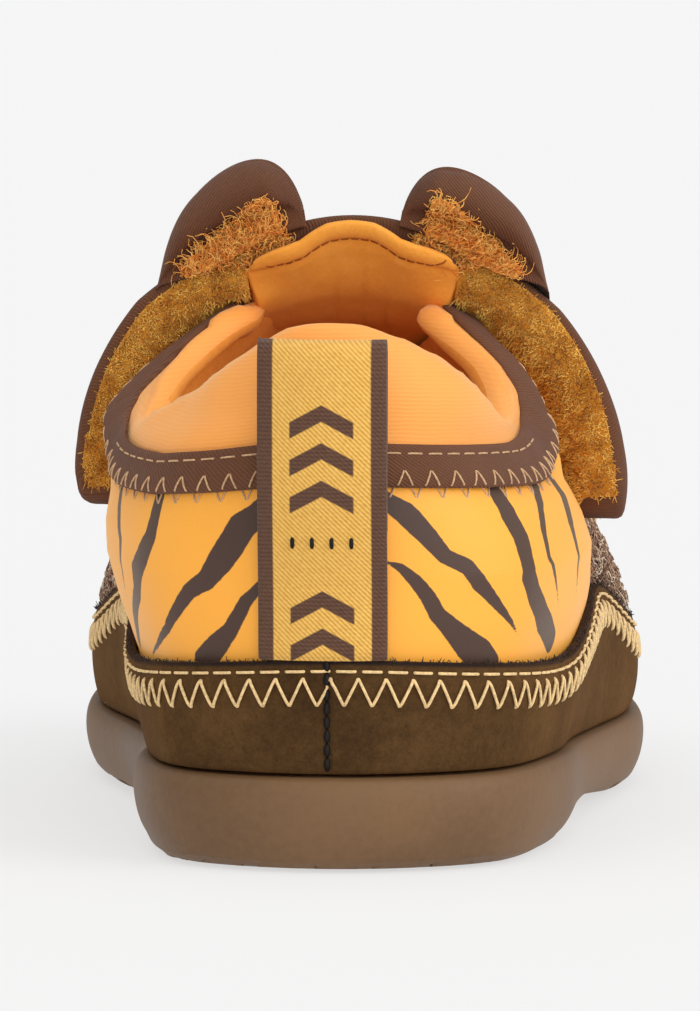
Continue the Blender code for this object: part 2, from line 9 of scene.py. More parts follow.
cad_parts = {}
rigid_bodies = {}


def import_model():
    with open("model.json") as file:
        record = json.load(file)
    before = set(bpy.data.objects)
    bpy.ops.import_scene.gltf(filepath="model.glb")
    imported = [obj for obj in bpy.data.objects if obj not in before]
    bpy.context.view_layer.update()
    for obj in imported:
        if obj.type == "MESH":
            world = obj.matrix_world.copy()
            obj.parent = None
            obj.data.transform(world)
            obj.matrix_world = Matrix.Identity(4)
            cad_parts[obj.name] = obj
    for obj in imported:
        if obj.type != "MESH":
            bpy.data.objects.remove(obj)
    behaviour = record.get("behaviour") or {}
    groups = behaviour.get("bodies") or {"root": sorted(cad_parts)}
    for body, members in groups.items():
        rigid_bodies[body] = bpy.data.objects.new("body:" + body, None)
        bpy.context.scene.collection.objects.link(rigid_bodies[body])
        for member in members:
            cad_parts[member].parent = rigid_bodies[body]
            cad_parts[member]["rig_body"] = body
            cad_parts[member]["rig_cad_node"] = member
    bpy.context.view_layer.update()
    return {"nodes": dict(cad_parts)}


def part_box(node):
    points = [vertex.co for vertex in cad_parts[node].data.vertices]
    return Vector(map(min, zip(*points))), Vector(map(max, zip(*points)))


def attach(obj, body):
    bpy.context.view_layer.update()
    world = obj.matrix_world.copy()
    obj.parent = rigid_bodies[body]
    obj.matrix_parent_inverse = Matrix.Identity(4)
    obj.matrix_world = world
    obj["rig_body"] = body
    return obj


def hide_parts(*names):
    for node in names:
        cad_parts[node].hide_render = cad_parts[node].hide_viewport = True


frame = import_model()
scene = bpy.context.scene
scene.view_settings.view_transform = "Standard"
mm = 0.001
print("frame loaded with", len(frame["nodes"]), "nodes")

# small helpers for objects

def takeUp(obj):  # makes one object selected and active
    if bpy.context.mode != "OBJECT":
        bpy.ops.object.mode_set(mode="OBJECT")
    bpy.ops.object.select_all(action="DESELECT")
    if obj:
        obj.select_set(True)
        bpy.context.view_layer.objects.active = obj


def intoEdit(piece, action="SELECT", kind=None):  # edit mode, with all or nothing selected
    takeUp(piece)
    bpy.ops.object.mode_set(mode="EDIT")
    if kind:
        bpy.ops.mesh.select_mode(type=kind)
    bpy.ops.mesh.select_all(action=action)


def outOfEdit():
    bpy.ops.object.mode_set(mode="OBJECT")


def copyNode(nodeName, pieceName):  # a merged copy of a CAD node, in quads where its triangles pair up
    takeUp(frame["nodes"][nodeName])
    bpy.ops.object.duplicate()
    piece = bpy.context.view_layer.objects.active
    piece.name = pieceName
    piece.data.name = pieceName
    piece.parent = None
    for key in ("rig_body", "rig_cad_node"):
        if key in piece:
            del piece[key]
    piece.data.materials.clear()
    intoEdit(piece)
    bpy.ops.mesh.customdata_custom_splitnormals_clear()
    bpy.ops.mesh.remove_doubles(threshold=0.00001)
    flat = math.radians(70)
    bpy.ops.mesh.tris_convert_to_quads(face_threshold=flat, shape_threshold=flat)
    outOfEdit()
    return piece


def creaseSharp(piece, degrees, amount, held=None):  # holds the hard corners when the piece is subdivided
    intoEdit(piece, "DESELECT", "EDGE")
    bpy.ops.mesh.edges_select_sharp(sharpness=math.radians(degrees))
    outOfEdit()
    stores = piece.data.attributes
    creases = stores.get("crease_edge") or stores.new("crease_edge", "FLOAT", "EDGE")
    for edge in piece.data.edges:
        wanted = edge.select and (held is None or all(held[k] for k in edge.vertices))
        creases.data[edge.index].value = amount if wanted else 0.0


def subdivided(piece, levels):
    takeUp(piece)
    smooth = piece.modifiers.new("rounding", "SUBSURF")
    smooth.levels = levels
    smooth.render_levels = levels
    bpy.ops.object.modifier_apply(modifier=smooth.name)
    bpy.ops.object.shade_smooth()


def shaped(nodeName, pieceName, levels, crease=()):  # a rounded copy; crease is an angle and an amount
    piece = copyNode(nodeName, pieceName)
    if crease:
        creaseSharp(piece, *crease)
    subdivided(piece, levels)
    return piece


def bisected(piece, point, normal):  # a clean cut line right through the piece
    intoEdit(piece)
    bpy.ops.mesh.bisect(plane_co=point, plane_no=normal, use_fill=False)
    outOfEdit()


def readAll(items, name, width=3):
    flat = np.empty(len(items) * width)
    items.foreach_get(name, flat)
    return flat.reshape(-1, 3) if width == 3 else flat


def pointsOf(piece):
    return readAll(piece.data.vertices, "co")


def normalsOf(piece):
    return readAll(piece.data.vertices, "normal")


def facesOf(piece):  # centres, normals and areas of all faces
    faces = piece.data.polygons
    return readAll(faces, "center"), readAll(faces, "normal"), readAll(faces, "area", 1)


def setPoints(piece, points):
    piece.data.vertices.foreach_set("co", points.ravel())
    piece.data.update()


def dots(first, second):  # dot products, row by row
    return np.einsum("ij,ij->i", first, second)


def easeIn(values, first, last):  # 0 at first and 1 at last
    share = np.clip((values - first) / (last - first), 0.0, 1.0)
    return share * share * (3 - 2 * share)


def bell(values, middle, width):
    return np.exp(-(((values - middle) / width) ** 2))


def scattered(weights, count, draw):  # faces drawn so that each gets its fair share of the count
    share = count * weights / weights.sum()
    times = np.floor(share + draw.uniform(0, 1, len(share))).astype(int)
    return np.repeat(np.arange(len(weights)), times)


def spotsOn(piece, faces, draw):  # one random place on each of these faces
    spots = []
    for index in faces:
        corners = [piece.data.vertices[k].co for k in piece.data.polygons[index].vertices]
        across, up = draw.uniform(0, 1, 2)
        low, high = corners[0].lerp(corners[1], across), corners[-1].lerp(corners[2], across)
        spots.append(low.lerp(high, up))
    return spots


def treeOf(*pieces):
    points, faces = [], []
    for piece in pieces:
        first = len(points)
        points += [v.co.copy() for v in piece.data.vertices]
        faces += [[first + k for k in face.vertices] for face in piece.data.polygons]
    return BVHTree.FromPolygons(points, faces)


def paint(piece, name, values, kind="FLOAT", field="value"):  # what the materials know of each point
    store = piece.data.attributes.new(name, kind, "POINT")
    store.data.foreach_set(field, np.asarray(values, dtype=np.float32).ravel())


def lay(piece, *columns):  # where each point lies on the cloth, in millimetres, for the weave
    paint(piece, "laid", np.column_stack(columns), "FLOAT_VECTOR", "vector")


def setMaterials(piece, materials, choice):
    for material in materials:
        piece.data.materials.append(material)
    piece.data.polygons.foreach_set("material_index", np.asarray(choice, dtype=np.int32))
    piece.data.update()


def keep(piece, node=None):  # hands the finished piece to the frame
    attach(piece, "root")
    if node:
        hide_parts(node)
    return piece


def added(name, data, material):  # links a new object and takes it up
    data.materials.append(material)
    made = bpy.data.objects.new(name, data)
    scene.collection.objects.link(made)
    takeUp(made)
    return made


def threads(name, paths, radius, material):  # many threads in one mesh; a point is (place, share of the radius)
    data = bpy.data.curves.new(name, "CURVE")
    data.dimensions = "3D"
    data.bevel_depth = radius * mm
    data.bevel_resolution = 1
    data.use_fill_caps = True
    for path in filter(None, paths):
        spline = data.splines.new("POLY")
        spline.points.add(len(path) - 1)
        for point, (place, share) in zip(spline.points, path):
            point.co = (*place, 1.0)
            point.radius = share
    added(name, data, material)
    bpy.ops.object.convert(target="MESH")
    bpy.ops.object.shade_smooth()
    return bpy.context.view_layer.objects.active


def strands(name, paths, radius, material):  # thousands of fine three-sided hairs in one mesh
    points, faces = [], []
    corners = (0.0, 2.0944, 4.1888)
    for path in paths:
        first = len(points)
        for k, (place, share) in enumerate(path):
            ahead = path[min(k + 1, len(path) - 1)][0] - path[max(k - 1, 0)][0]
            across = ahead.cross(Vector((0.31, 0.57, 0.76))).normalized() * radius * mm * share
            other = ahead.normalized().cross(across)
            points += [place + across * math.cos(turn) + other * math.sin(turn) for turn in corners]
        for row in range(first, first + 3 * (len(path) - 1), 3):
            faces += [(row + j, row + (j + 1) % 3, row + 3 + (j + 1) % 3, row + 3 + j) for j in range(3)]
        tip = first + 3 * (len(path) - 1)
        faces += [(first + 2, first + 1, first), (tip, tip + 1, tip + 2)]
    data = bpy.data.meshes.new(name)
    data.from_pydata(points, [], faces)
    made = added(name, data, material)
    bpy.ops.object.shade_smooth()
    return made


# the walk round the shoe: a stadium in plan, measured in mm from the back of the heel, the outer side positive

walk = {"radius": 27.0, "heelY": -46.0, "toeY": 36.0, "outside": 0.09, "reach": 0.08}
walk["corner"] = walk["radius"] * math.pi / 2
walk["side"] = walk["toeY"] - walk["heelY"]
walk["half"] = 2 * walk["corner"] + walk["side"]


def walkOf(points):  # distance round the shoe of points in metres
    x, y = points[:, 0] / mm, points[:, 1] / mm
    sign = np.where(x < 0, -1.0, 1.0)
    heel = walk["radius"] * np.arctan2(x, walk["heelY"] - y)
    side = sign * (walk["corner"] + y - walk["heelY"])
    toe = walk["radius"] * np.arctan2(y - walk["toeY"], np.abs(x))
    toe = sign * (walk["corner"] + walk["side"] + toe)
    return np.where(y < walk["heelY"], heel, np.where(y > walk["toeY"], toe, side))


def walkRay(distance):  # start and direction, in plan, of the ray that crosses the wall there
    far, sign = abs(distance), math.copysign(1.0, distance)
    if far < walk["corner"]:
        turn = distance / walk["radius"]
        return (0.0, walk["heelY"]), (math.sin(turn), -math.cos(turn))
    if far < walk["corner"] + walk["side"]:
        return (0.0, walk["heelY"] + far - walk["corner"]), (sign, 0.0)
    turn = (far - walk["corner"] - walk["side"]) / walk["radius"]
    return (0.0, walk["toeY"]), (sign * math.cos(turn), math.sin(turn))


def onWall(tree, distance, height):  # place and normal of the outermost surface, from outside
    start, aim = walkRay(distance)
    aim = Vector((*aim, 0.0))
    origin = Vector((start[0] * mm, start[1] * mm, height * mm)) + aim * walk["outside"]
    place, normal, _, _ = tree.ray_cast(origin, -aim, walk["reach"])
    if place is None:
        return None
    return place, (normal if normal.dot(aim) > 0 else -normal)


def fromBehind(tree, x, height):  # place on the heel, seen from behind, and the way out of it
    place = tree.ray_cast(Vector((x, -0.12, height * mm)), Vector((0, 1, 0)))[0]
    return place and (place, Vector((0, -1, 0)))


def edgeHeight(tree, distance, inside, outside):  # height where the surface ends, between these two
    for _ in range(14):
        middle = 0.5 * (inside + outside)
        if onWall(tree, distance, middle):
            inside = middle
        else:
            outside = middle
    return inside


def evenly(tree, distances, heights, step):  # walk distances and heights spaced evenly along a line on the wall
    found = [onWall(tree, distance, height) for distance, height in zip(distances, heights)]
    places = np.array([f[0] if f else (0, 0, 0) for f in found])
    run = np.concatenate([[0.0], np.cumsum(np.linalg.norm(np.diff(places, axis=0), axis=1))]) / mm
    marks = np.linspace(0.0, run[-1], max(2, int(round(run[-1] / step)) + 1))
    return np.interp(marks, run, distances), np.interp(marks, run, heights)


def stitch(tree, a, b, lift, sink=0.22):  # one thread from a to b over the wall, both (distance, height)
    path = []
    for share in (0.0, 0.08, 0.2, 0.35, 0.5, 0.65, 0.8, 0.92, 1.0):
        found = onWall(tree, a[0] + (b[0] - a[0]) * share, a[1] + (b[1] - a[1]) * share)
        if not found:
            return None
        rise = lift - (lift + sink) * (2 * abs(share - 0.5)) ** 8
        path.append((found[0] + found[1] * rise * mm, 1.0))
        if len(path) > 1 and (path[-1][0] - path[-2][0]).length > 2 * mm:  # it jumped to another wall
            return None
    return path


def dash(tree, along, heights, k, share, lift):  # one dash of a sewn line, from its mark k towards the next
    a, b = (along[k], heights[k]), (along[k + 1], heights[k + 1])
    return stitch(tree, a, (a[0] + (b[0] - a[0]) * share, a[1] + (b[1] - a[1]) * share), lift)


def sewn(place, steps):  # one small stitch; place gives a point and the way out of the cloth at each step
    path = []
    for step, rise in steps:
        found = place(step)
        if not found:
            return None
        path.append((found[0] + found[1] * rise * mm, 1.0))
    return path


# small helpers for materials

def srgb(red, green, blue):
    def linear(value):
        value /= 255.0
        return value / 12.92 if value <= 0.04045 else ((value + 0.055) / 1.055) ** 2.4
    return (linear(red), linear(green), linear(blue), 1.0)


white = (1, 1, 1, 1)


def feed(tree, socket, value):
    if hasattr(value, "is_output"):
        tree.links.new(value, socket)
    else:
        socket.default_value = value


def sums(tree, operation, *values):
    node = tree.nodes.new("ShaderNodeMath")
    node.operation = operation
    for socket, value in zip(node.inputs, values):
        feed(tree, socket, value)
    return node.outputs[0]


def weighed(tree, *parts):  # sum of (value, weight) pairs
    total = 0.0
    for value, weight in reversed(parts):
        total = sums(tree, "MULTIPLY_ADD", value, weight, total)
    return total


def rippled(tree, value, pitch):  # sine wave of that pitch
    return sums(tree, "SINE", sums(tree, "DIVIDE", sums(tree, "MULTIPLY", value, 2 * math.pi), pitch))


def between(tree, value, low, high):  # 0 under low and 1 over high
    node = tree.nodes.new("ShaderNodeMapRange")
    node.interpolation_type = "SMOOTHSTEP"
    feed(tree, node.inputs["Value"], value)
    node.inputs["From Min"].default_value = low
    node.inputs["From Max"].default_value = high
    return node.outputs["Result"]


def below(tree, value, low, high):  # 1 under low and 0 over high
    return sums(tree, "SUBTRACT", 1.0, between(tree, value, low, high))


def blended(tree, factor, first, second):
    node = tree.nodes.new("ShaderNodeMix")
    node.data_type = "RGBA"
    feed(tree, node.inputs["Factor"], factor)
    feed(tree, node.inputs[6], first)
    feed(tree, node.inputs[7], second)
    return node.outputs[2]


def coloured(tree, shader, factor, first, second):
    tree.links.new(blended(tree, factor, first, second), shader.inputs["Base Color"])


def cloudy(tree, coords, scale, detail=3.0, rough=0.55):
    node = tree.nodes.new("ShaderNodeTexNoise")
    tree.links.new(coords, node.inputs["Vector"])
    node.inputs["Scale"].default_value = scale
    node.inputs["Detail"].default_value = detail
    node.inputs["Roughness"].default_value = rough
    return node.outputs["Fac"]


def split(tree, vector):
    node = tree.nodes.new("ShaderNodeSeparateXYZ")
    tree.links.new(vector, node.inputs[0])
    return node.outputs


def newGroup(name, vectorName, numbers, outputs):
    group = bpy.data.node_groups.new(name, "ShaderNodeTree")
    group.interface.new_socket(vectorName, in_out="INPUT", socket_type="NodeSocketVector")
    for label, value in numbers:
        socket = group.interface.new_socket(label, in_out="INPUT", socket_type="NodeSocketFloat")
        socket.default_value = value
    for label in outputs:
        group.interface.new_socket(label, in_out="OUTPUT", socket_type="NodeSocketFloat")
    return group, group.nodes.new("NodeGroupInput").outputs, group.nodes.new("NodeGroupOutput").inputs


def makeRibGroup():  # fine ribs across the cloth, with a little unevenness
    group, source, result = newGroup("fineRibs", "Laid", [("Pitch", 0.6), ("Slant", 0.0)], ["Height", "Shade"])
    laid = source["Laid"]
    parts = split(group, laid)
    along = sums(group, "MULTIPLY_ADD", parts["X"], source["Slant"], parts["Y"])
    along = sums(group, "MULTIPLY_ADD", cloudy(group, laid, 0.35, 2.0), 0.5, along)
    wave = sums(group, "MULTIPLY_ADD", rippled(group, along, source["Pitch"]), 0.5, 0.5)
    fibre = cloudy(group, laid, 2.6, 3.0, 0.7)
    wide = cloudy(group, laid, 0.08, 2.0)
    group.links.new(sums(group, "MULTIPLY_ADD", fibre, 0.5, wave), result["Height"])
    # the colour is lighter on the rib tops and darker in the grooves, as painted shade, mixed with random fibre and
    # patch tone
    group.links.new(weighed(group, (wave, 0.3), (fibre, 0.35), (wide, 0.35)), result["Shade"])
    return group


def makeNapGroup():  # short nap: soft clouds and fine fibres
    group, source, result = newGroup("shortNap", "Place", [("Grain", 1.0)], ["Height", "Shade"])
    scaled = group.nodes.new("ShaderNodeVectorMath")
    scaled.operation = "SCALE"
    group.links.new(source["Place"], scaled.inputs[0])
    group.links.new(source["Grain"], scaled.inputs["Scale"])
    fine = cloudy(group, scaled.outputs[0], 2600.0, 4.0, 0.7)
    clumps = cloudy(group, scaled.outputs[0], 620.0, 3.0, 0.6)
    wide = cloudy(group, scaled.outputs[0], 70.0, 2.0, 0.5)
    group.links.new(weighed(group, (fine, 0.6), (clumps, 0.5)), result["Height"])
    group.links.new(weighed(group, (fine, 0.35), (clumps, 0.3), (wide, 0.45)), result["Shade"])
    return group


def makeWeaveGroup():  # plain weave, over and under
    group, source, result = newGroup("plainWeave", "Laid", [("Pitch", 0.4)], ["Height"])
    parts = split(group, source["Laid"])
    waves = [rippled(group, parts[axis], source["Pitch"]) for axis in ("X", "Y")]
    over = sums(group, "MULTIPLY_ADD", sums(group, "MULTIPLY", *waves), 0.5, 0.5)
    group.links.new(over, result["Height"])
    return group


ribGroup, napGroup, weaveGroup = makeRibGroup(), makeNapGroup(), makeWeaveGroup()


def placed(tree, group, **values):
    node = tree.nodes.new("ShaderNodeGroup")
    node.node_tree = group
    for name, value in values.items():
        feed(tree, node.inputs[name], value)
    return node.outputs


def startMaterial(name, roughness, sheen=0.0, tint=white, specular=0.5):
    material = bpy.data.materials.new(name)
    material.use_nodes = True
    tree = material.node_tree
    shader = tree.nodes["Principled BSDF"]
    for socket, value in (
        ("Roughness", roughness), ("Specular IOR Level", specular),
        ("Sheen Weight", sheen), ("Sheen Roughness", 0.5), ("Sheen Tint", tint),
    ):
        shader.inputs[socket].default_value = value
    return material, tree, shader


def raised(tree, shader, height, depth):  # bump of that depth in millimetres
    bump = tree.nodes.new("ShaderNodeBump")
    bump.inputs["Distance"].default_value = depth * mm
    tree.links.new(height, bump.inputs["Height"])
    tree.links.new(bump.outputs["Normal"], shader.inputs["Normal"])


def attribute(tree, name, output="Fac"):
    node = tree.nodes.new("ShaderNodeAttribute")
    node.attribute_name = name
    return node.outputs[output]


def objectPlace(tree):
    return tree.nodes.new("ShaderNodeTexCoord").outputs["Object"]


def ribbedMaterial(name, look, pitch, slant, depth=0.1, roughness=0.85, sheen=0.06, tint=white, specular=0.2):
    material, tree, shader = startMaterial(name, roughness, sheen, tint, specular)
    ribs = placed(tree, ribGroup, Laid=attribute(tree, "laid", "Vector"), Pitch=pitch, Slant=slant)
    # the rib colour carries painted shade in the grooves, besides random tone
    coloured(tree, shader, ribs["Shade"], *look)
    raised(tree, shader, ribs["Height"], depth)
    return material


def nappedMaterial(name, look, grain, depth=0.25):
    material, tree, shader = startMaterial(name, 0.95, 0.04, specular=0.15)
    nap = placed(tree, napGroup, Place=objectPlace(tree), Grain=grain)
    coloured(tree, shader, between(tree, nap["Shade"], 0.3, 0.8), *look)
    raised(tree, shader, nap["Height"], depth)
    return material


def mottledMaterial(name, look, patches, roughness, sheen, specular):
    material, tree, shader = startMaterial(name, roughness, sheen, specular=specular)
    mixed = cloudy(tree, objectPlace(tree), patches, 2.0, 0.6)
    coloured(tree, shader, between(tree, mixed, 0.35, 0.65), *look)
    return material


def strandMaterial(name, look, patches=900.0):
    return mottledMaterial(name, look, patches, 0.8, 0.1, 0.3)


def threadMaterial(name, colour):
    darker = tuple(0.72 * c for c in colour[:3]) + (1.0,)
    return mottledMaterial(name, (darker, colour), 2400.0, 0.65, 0.0, 0.25)


# stage: camera, floor and light

stageLook = {
    "azimuth": 2.3, "elevation": 7.5, "distance": 1.5, "pixelsPerMm": 8.2, "sensor": 36.0, "pictureHeight": 1011.0,
    "heel": (0.00024, -0.07638, 0.0), "aim": (0.0007, -0.04, 0.0415),
    "floor": 0.28, "floorGlow": 0.61, "floorSize": 60.0, "floorDrop": 0.0002, "ambient": 0.54,
    "suns": (  # name, strength, spread in degrees, direction
        ("overhead", 0.85, 70, (0.1, 0.25, -1.0)),
        ("rightSoftbox", 1.3, 50, (-0.95, 0.4, -0.55)),
        ("leftSoftbox", 0.06, 60, (0.9, 0.5, -0.6)),
        ("frontFill", 1.0, 50, (-0.1, 1.0, -0.1)),
    ),
}


def setStage():
    look = stageLook
    turn, rise = math.radians(look["azimuth"]), math.radians(look["elevation"])
    back = Vector((math.sin(turn) * math.cos(rise), -math.cos(turn) * math.cos(rise), math.sin(rise)))
    eye = Vector(look["heel"]) + back * look["distance"]
    bpy.ops.object.camera_add(location=eye)
    camera = bpy.context.object
    camera.rotation_euler = (Vector(look["aim"]) - eye).to_track_quat("-Z", "Y").to_euler()
    camera.data.lens = look["pixelsPerMm"] * look["distance"] / mm * look["sensor"] / look["pictureHeight"]
    camera.data.clip_end = 200.0
    scene.camera = camera
    bpy.ops.mesh.primitive_grid_add(
        x_subdivisions=4, y_subdivisions=4, size=look["floorSize"], location=(0, 0, -look["floorDrop"]))
    floor = bpy.context.object
    floor.name = "studioFloor"
    material, _, shader = startMaterial("paleFloor", 0.9, specular=0.1)
    shader.inputs["Base Color"].default_value = (*[look["floor"]] * 3, 1)
    shader.inputs["Emission Color"].default_value = white
    shader.inputs["Emission Strength"].default_value = look["floorGlow"]  # softens the shadows, as on a lit sweep
    floor.data.materials.append(material)
    scene.world = bpy.data.worlds.new("studio")
    scene.world.use_nodes = True
    sky = scene.world.node_tree.nodes["Background"]
    sky.inputs["Color"].default_value = white
    sky.inputs["Strength"].default_value = look["ambient"]
    for name, strength, spread, aim in look["suns"]:
        bpy.ops.object.light_add(type="SUN", location=(0, 0, 2))
        light = bpy.context.object
        light.name = name
        light.data.energy = strength
        light.data.angle = math.radians(spread)
        light.rotation_euler = Vector(aim).to_track_quat("-Z", "Y").to_euler()


takeUp(None)
setStage()
print("stage set")

# sole and insole

soleLook = {
    "foam": (srgb(101, 73, 46), srgb(117, 86, 55)), "footbed": (srgb(250, 190, 116), srgb(255, 212, 148)),
    "heelY": -46.0, "slotLow": 1.6, "slotFrom": 1.0, "slotEnd": 7.0,
    "under": ((0.4, 1.4, 3.0, 4.6), (3.6, 1.4, 0.2, 0.0)),  # inset from the edge, height of the underside
}


def foamMaterial():
    material, tree, shader = startMaterial("moulded foam", 0.55, specular=0.35)
    place = objectPlace(tree)
    speck = cloudy(tree, place, 900.0, 3.0, 0.6)
    wide = cloudy(tree, place, 45.0, 2.0)
    mixed = weighed(tree, (speck, 0.35), (wide, 0.65))
    coloured(tree, shader, between(tree, mixed, 0.3, 0.7), *soleLook["foam"])
    tree.links.new(sums(tree, "MULTIPLY_ADD", wide, 0.25, 0.42), shader.inputs["Roughness"])
    raised(tree, shader, speck, 0.06)
    return material


def closeSlots(sole):  # the heel's tread slots end before the sole's edge
    look = soleLook
    points, normals = pointsOf(sole), normalsOf(sole)
    x, y, z = points.T / mm
    turn, away = np.arctan2(x, look["heelY"] - y), np.hypot(x, y - look["heelY"])
    heel = y < look["heelY"]
    low = np.flatnonzero(heel & (z < look["slotLow"]) & (normals[:, 2] < 0.3))
    inset = np.array([away[heel & (np.abs(turn - turn[k]) < 0.06)].max() - away[k] for k in low])
    wanted = np.interp(inset, *look["under"])
    closing = (inset > look["slotFrom"]) & (inset < look["slotEnd"]) & (z[low] > wanted)
    points[low[closing], 2] = wanted[closing] * mm
    setPoints(sole, points)


def makeSole():
    sole = shaped("outsole", "sole", 2, (48, 0.9))
    closeSlots(sole)
    sole.data.materials.append(foamMaterial())
    keep(sole, "outsole")
    insole = shaped("insole", "footbed", 1)
    insole.data.materials.append(nappedMaterial("footbed cloth", soleLook["footbed"], 0.7))
    keep(insole, "insole")


makeSole()
print("sole done")

# upper: printed quarters, padded heel, lining and looped vamp

upperLook = {
    "orange": (srgb(252, 166, 50), srgb(255, 182, 70)), "stripe": srgb(72, 50, 41), "printSheen": srgb(255, 214, 160),
    "pad": (srgb(246, 154, 62), srgb(252, 170, 80)), "padSheen": srgb(255, 226, 178),
    "lining": (srgb(232, 138, 48), srgb(252, 170, 78)), "lip": (srgb(226, 136, 50), srgb(244, 164, 76)),
    "vamp": (srgb(100, 72, 56), srgb(156, 122, 98)),
    "lipThread": srgb(160, 84, 30), "seamThread": srgb(52, 36, 30), "lipRadius": 0.14, "seamRadius": 0.36,
    "quarterEnd": -13.4, "quarterLow": 21.0, "middle": (-0.046, 0.04),
    "lipRoll": 3.8, "lipSwell": 1.3, "lipTrough": 0.35, "troughDown": 0.3, "troughWide": 0.6,
    "lipEnd": 1.3, "lipEndFrom": (38.0, 54.0), "lipEndRound": 2.5,
    "lipRow": (-70.0, 69.0, 2.6), "lipLong": 1.7,  # a row is its first, its end and the step
    "lipStitch": ((0.0, -0.15), (0.15, 0.12), (0.5, 0.12), (0.85, 0.12), (1.0, -0.15)),  # share of the stitch, rise
    "seamRow": (20.5, 50.0, 1.25), "seamIn": 0.3,
    "seamStitch": ((0.0, -0.1), (0.15, 0.2), (0.5, 0.32), (0.85, 0.2), (1.0, -0.1)),  # step up, rise
}
# stripes on the quarters: distance round the heel, height over the floor, half width, all in mm
stripeChart = [
    [(5.6, 47.4, 1.2), (7.5, 45.4, 1.25), (9.3, 43.9, 1.6), (11.1, 41.2, 1.35), (12.7, 38.5, 1.0), (15.2, 37.1, 1.05),
     (16.6, 35.0, 1.0), (19.4, 32.1, 0.65), (21.7, 29.9, 0.35), (23.9, 27.9, 0.05)],
    [(5.0, 38.6, 0.05), (6.1, 38.0, 0.15), (7.5, 37.3, 0.55), (9.0, 35.6, 0.8), (10.4, 33.7, 0.9), (11.7, 31.3, 1.0),
     (13.7, 29.4, 1.25), (16.1, 27.3, 1.7), (17.6, 26.2, 1.95), (19.0, 24.6, 2.1)],
    [(25.6, 50.0, 1.6), (24.7, 47.1, 1.6), (24.1, 45.4, 1.55), (24.0, 42.9, 1.65), (24.5, 40.1, 1.6), (24.5, 37.6, 1.4),
     (24.5, 35.3, 1.4), (26.2, 32.7, 1.5), (29.8, 29.4, 1.65), (35.8, 26.0, 1.5)],
    [(38.6, 50.0, 0.9), (36.4, 46.7, 0.85), (33.1, 43.7, 0.8), (30.6, 40.2, 0.7), (30.2, 37.0, 0.5),
     (33.4, 32.6, 0.2), (35.4, 29.8, 0.05)],
    [(45.0, 50.0, 1.2), (44.5, 47.2, 1.2), (44.0, 44.0, 1.35), (41.3, 40.1, 0.9), (41.5, 34.5, 0.3),
     (43.0, 30.5, 0.05)],
    [(53.5, 51.0, 1.2), (57.0, 44.5, 1.1), (61.0, 38.0, 0.6), (65.0, 33.0, 0.1)],
    [(-5.0, 46.2, 1.5), (-8.0, 43.7, 1.6), (-9.7, 42.5, 1.8), (-10.9, 40.2, 1.75), (-12.4, 37.8, 1.6),
     (-14.2, 35.4, 1.2), (-16.7, 33.9, 0.95), (-18.7, 31.8, 0.85), (-21.7, 28.8, 0.6), (-25.6, 26.4, 0.35),
     (-30.0, 24.4, 0.05)],
    [(-6.9, 36.0, 0.5), (-8.5, 34.2, 0.6), (-9.6, 33.1, 0.75), (-10.7, 31.3, 0.85), (-12.0, 29.3, 0.95),
     (-14.0, 27.4, 1.35), (-16.0, 25.4, 1.6)],
    [(-23.2, 49.0, 1.05), (-23.3, 45.6, 1.1), (-23.3, 42.9, 1.1), (-23.4, 40.1, 1.25), (-25.3, 37.2, 1.55),
     (-27.2, 35.3, 1.6), (-28.6, 32.6, 1.2), (-33.4, 29.2, 0.95), (-38.6, 25.4, 0.8)],
    [(-38.8, 48.6, 0.85), (-36.8, 43.3, 0.8), (-33.9, 38.7, 0.7), (-34.3, 35.0, 0.3), (-36.4, 31.0, 0.05)],
    [(-50.0, 51.0, 1.1), (-53.0, 44.5, 1.0), (-57.0, 37.0, 0.6), (-60.5, 32.0, 0.05)],
    [(-64.5, 54.0, 1.1), (-67.0, 46.0, 1.0), (-70.5, 37.0, 0.1)],
]


def stripeDepth(roundAt, height):  # how far each point lies inside a stripe, in mm; negative outside
    best = np.full(len(roundAt), -50.0)
    for stripe in stripeChart:
        for (u0, v0, w0), (u1, v1, w1) in zip(stripe, stripe[1:]):
            du, dv = u1 - u0, v1 - v0
            share = np.clip(((roundAt - u0) * du + (height - v0) * dv) / (du * du + dv * dv), 0.0, 1.0)
            away = np.hypot(roundAt - u0 - share * du, height - v0 - share * dv)
            best = np.maximum(best, w0 + (w1 - w0) * share - away)
    return best


def printedMaterial():
    material, tree, shader = startMaterial("printed cloth", 0.5, 0.15, upperLook["printSheen"], 0.35)
    laid = attribute(tree, "laid", "Vector")
    fibre = cloudy(tree, laid, 2.2, 3.0, 0.65)
    wide = cloudy(tree, laid, 0.05, 2.0)
    ragged = sums(tree, "MULTIPLY_ADD", cloudy(tree, laid, 1.1, 3.0), 0.24, -0.12)
    depth = sums(tree, "ADD", attribute(tree, "stripe"), ragged)
    ground = blended(tree, weighed(tree, (fibre, 0.3), (wide, 0.7)), *upperLook["orange"])
    coloured(tree, shader, between(tree, depth, -0.07, 0.07), ground, upperLook["stripe"])
    tree.links.new(sums(tree, "MULTIPLY_ADD", fibre, 0.2, 0.36), shader.inputs["Roughness"])
    weave = placed(tree, weaveGroup, Laid=laid, Pitch=0.36)
    raised(tree, shader, weighed(tree, (fibre, 0.6), (weave["Height"], 0.3)), 0.04)
    return material


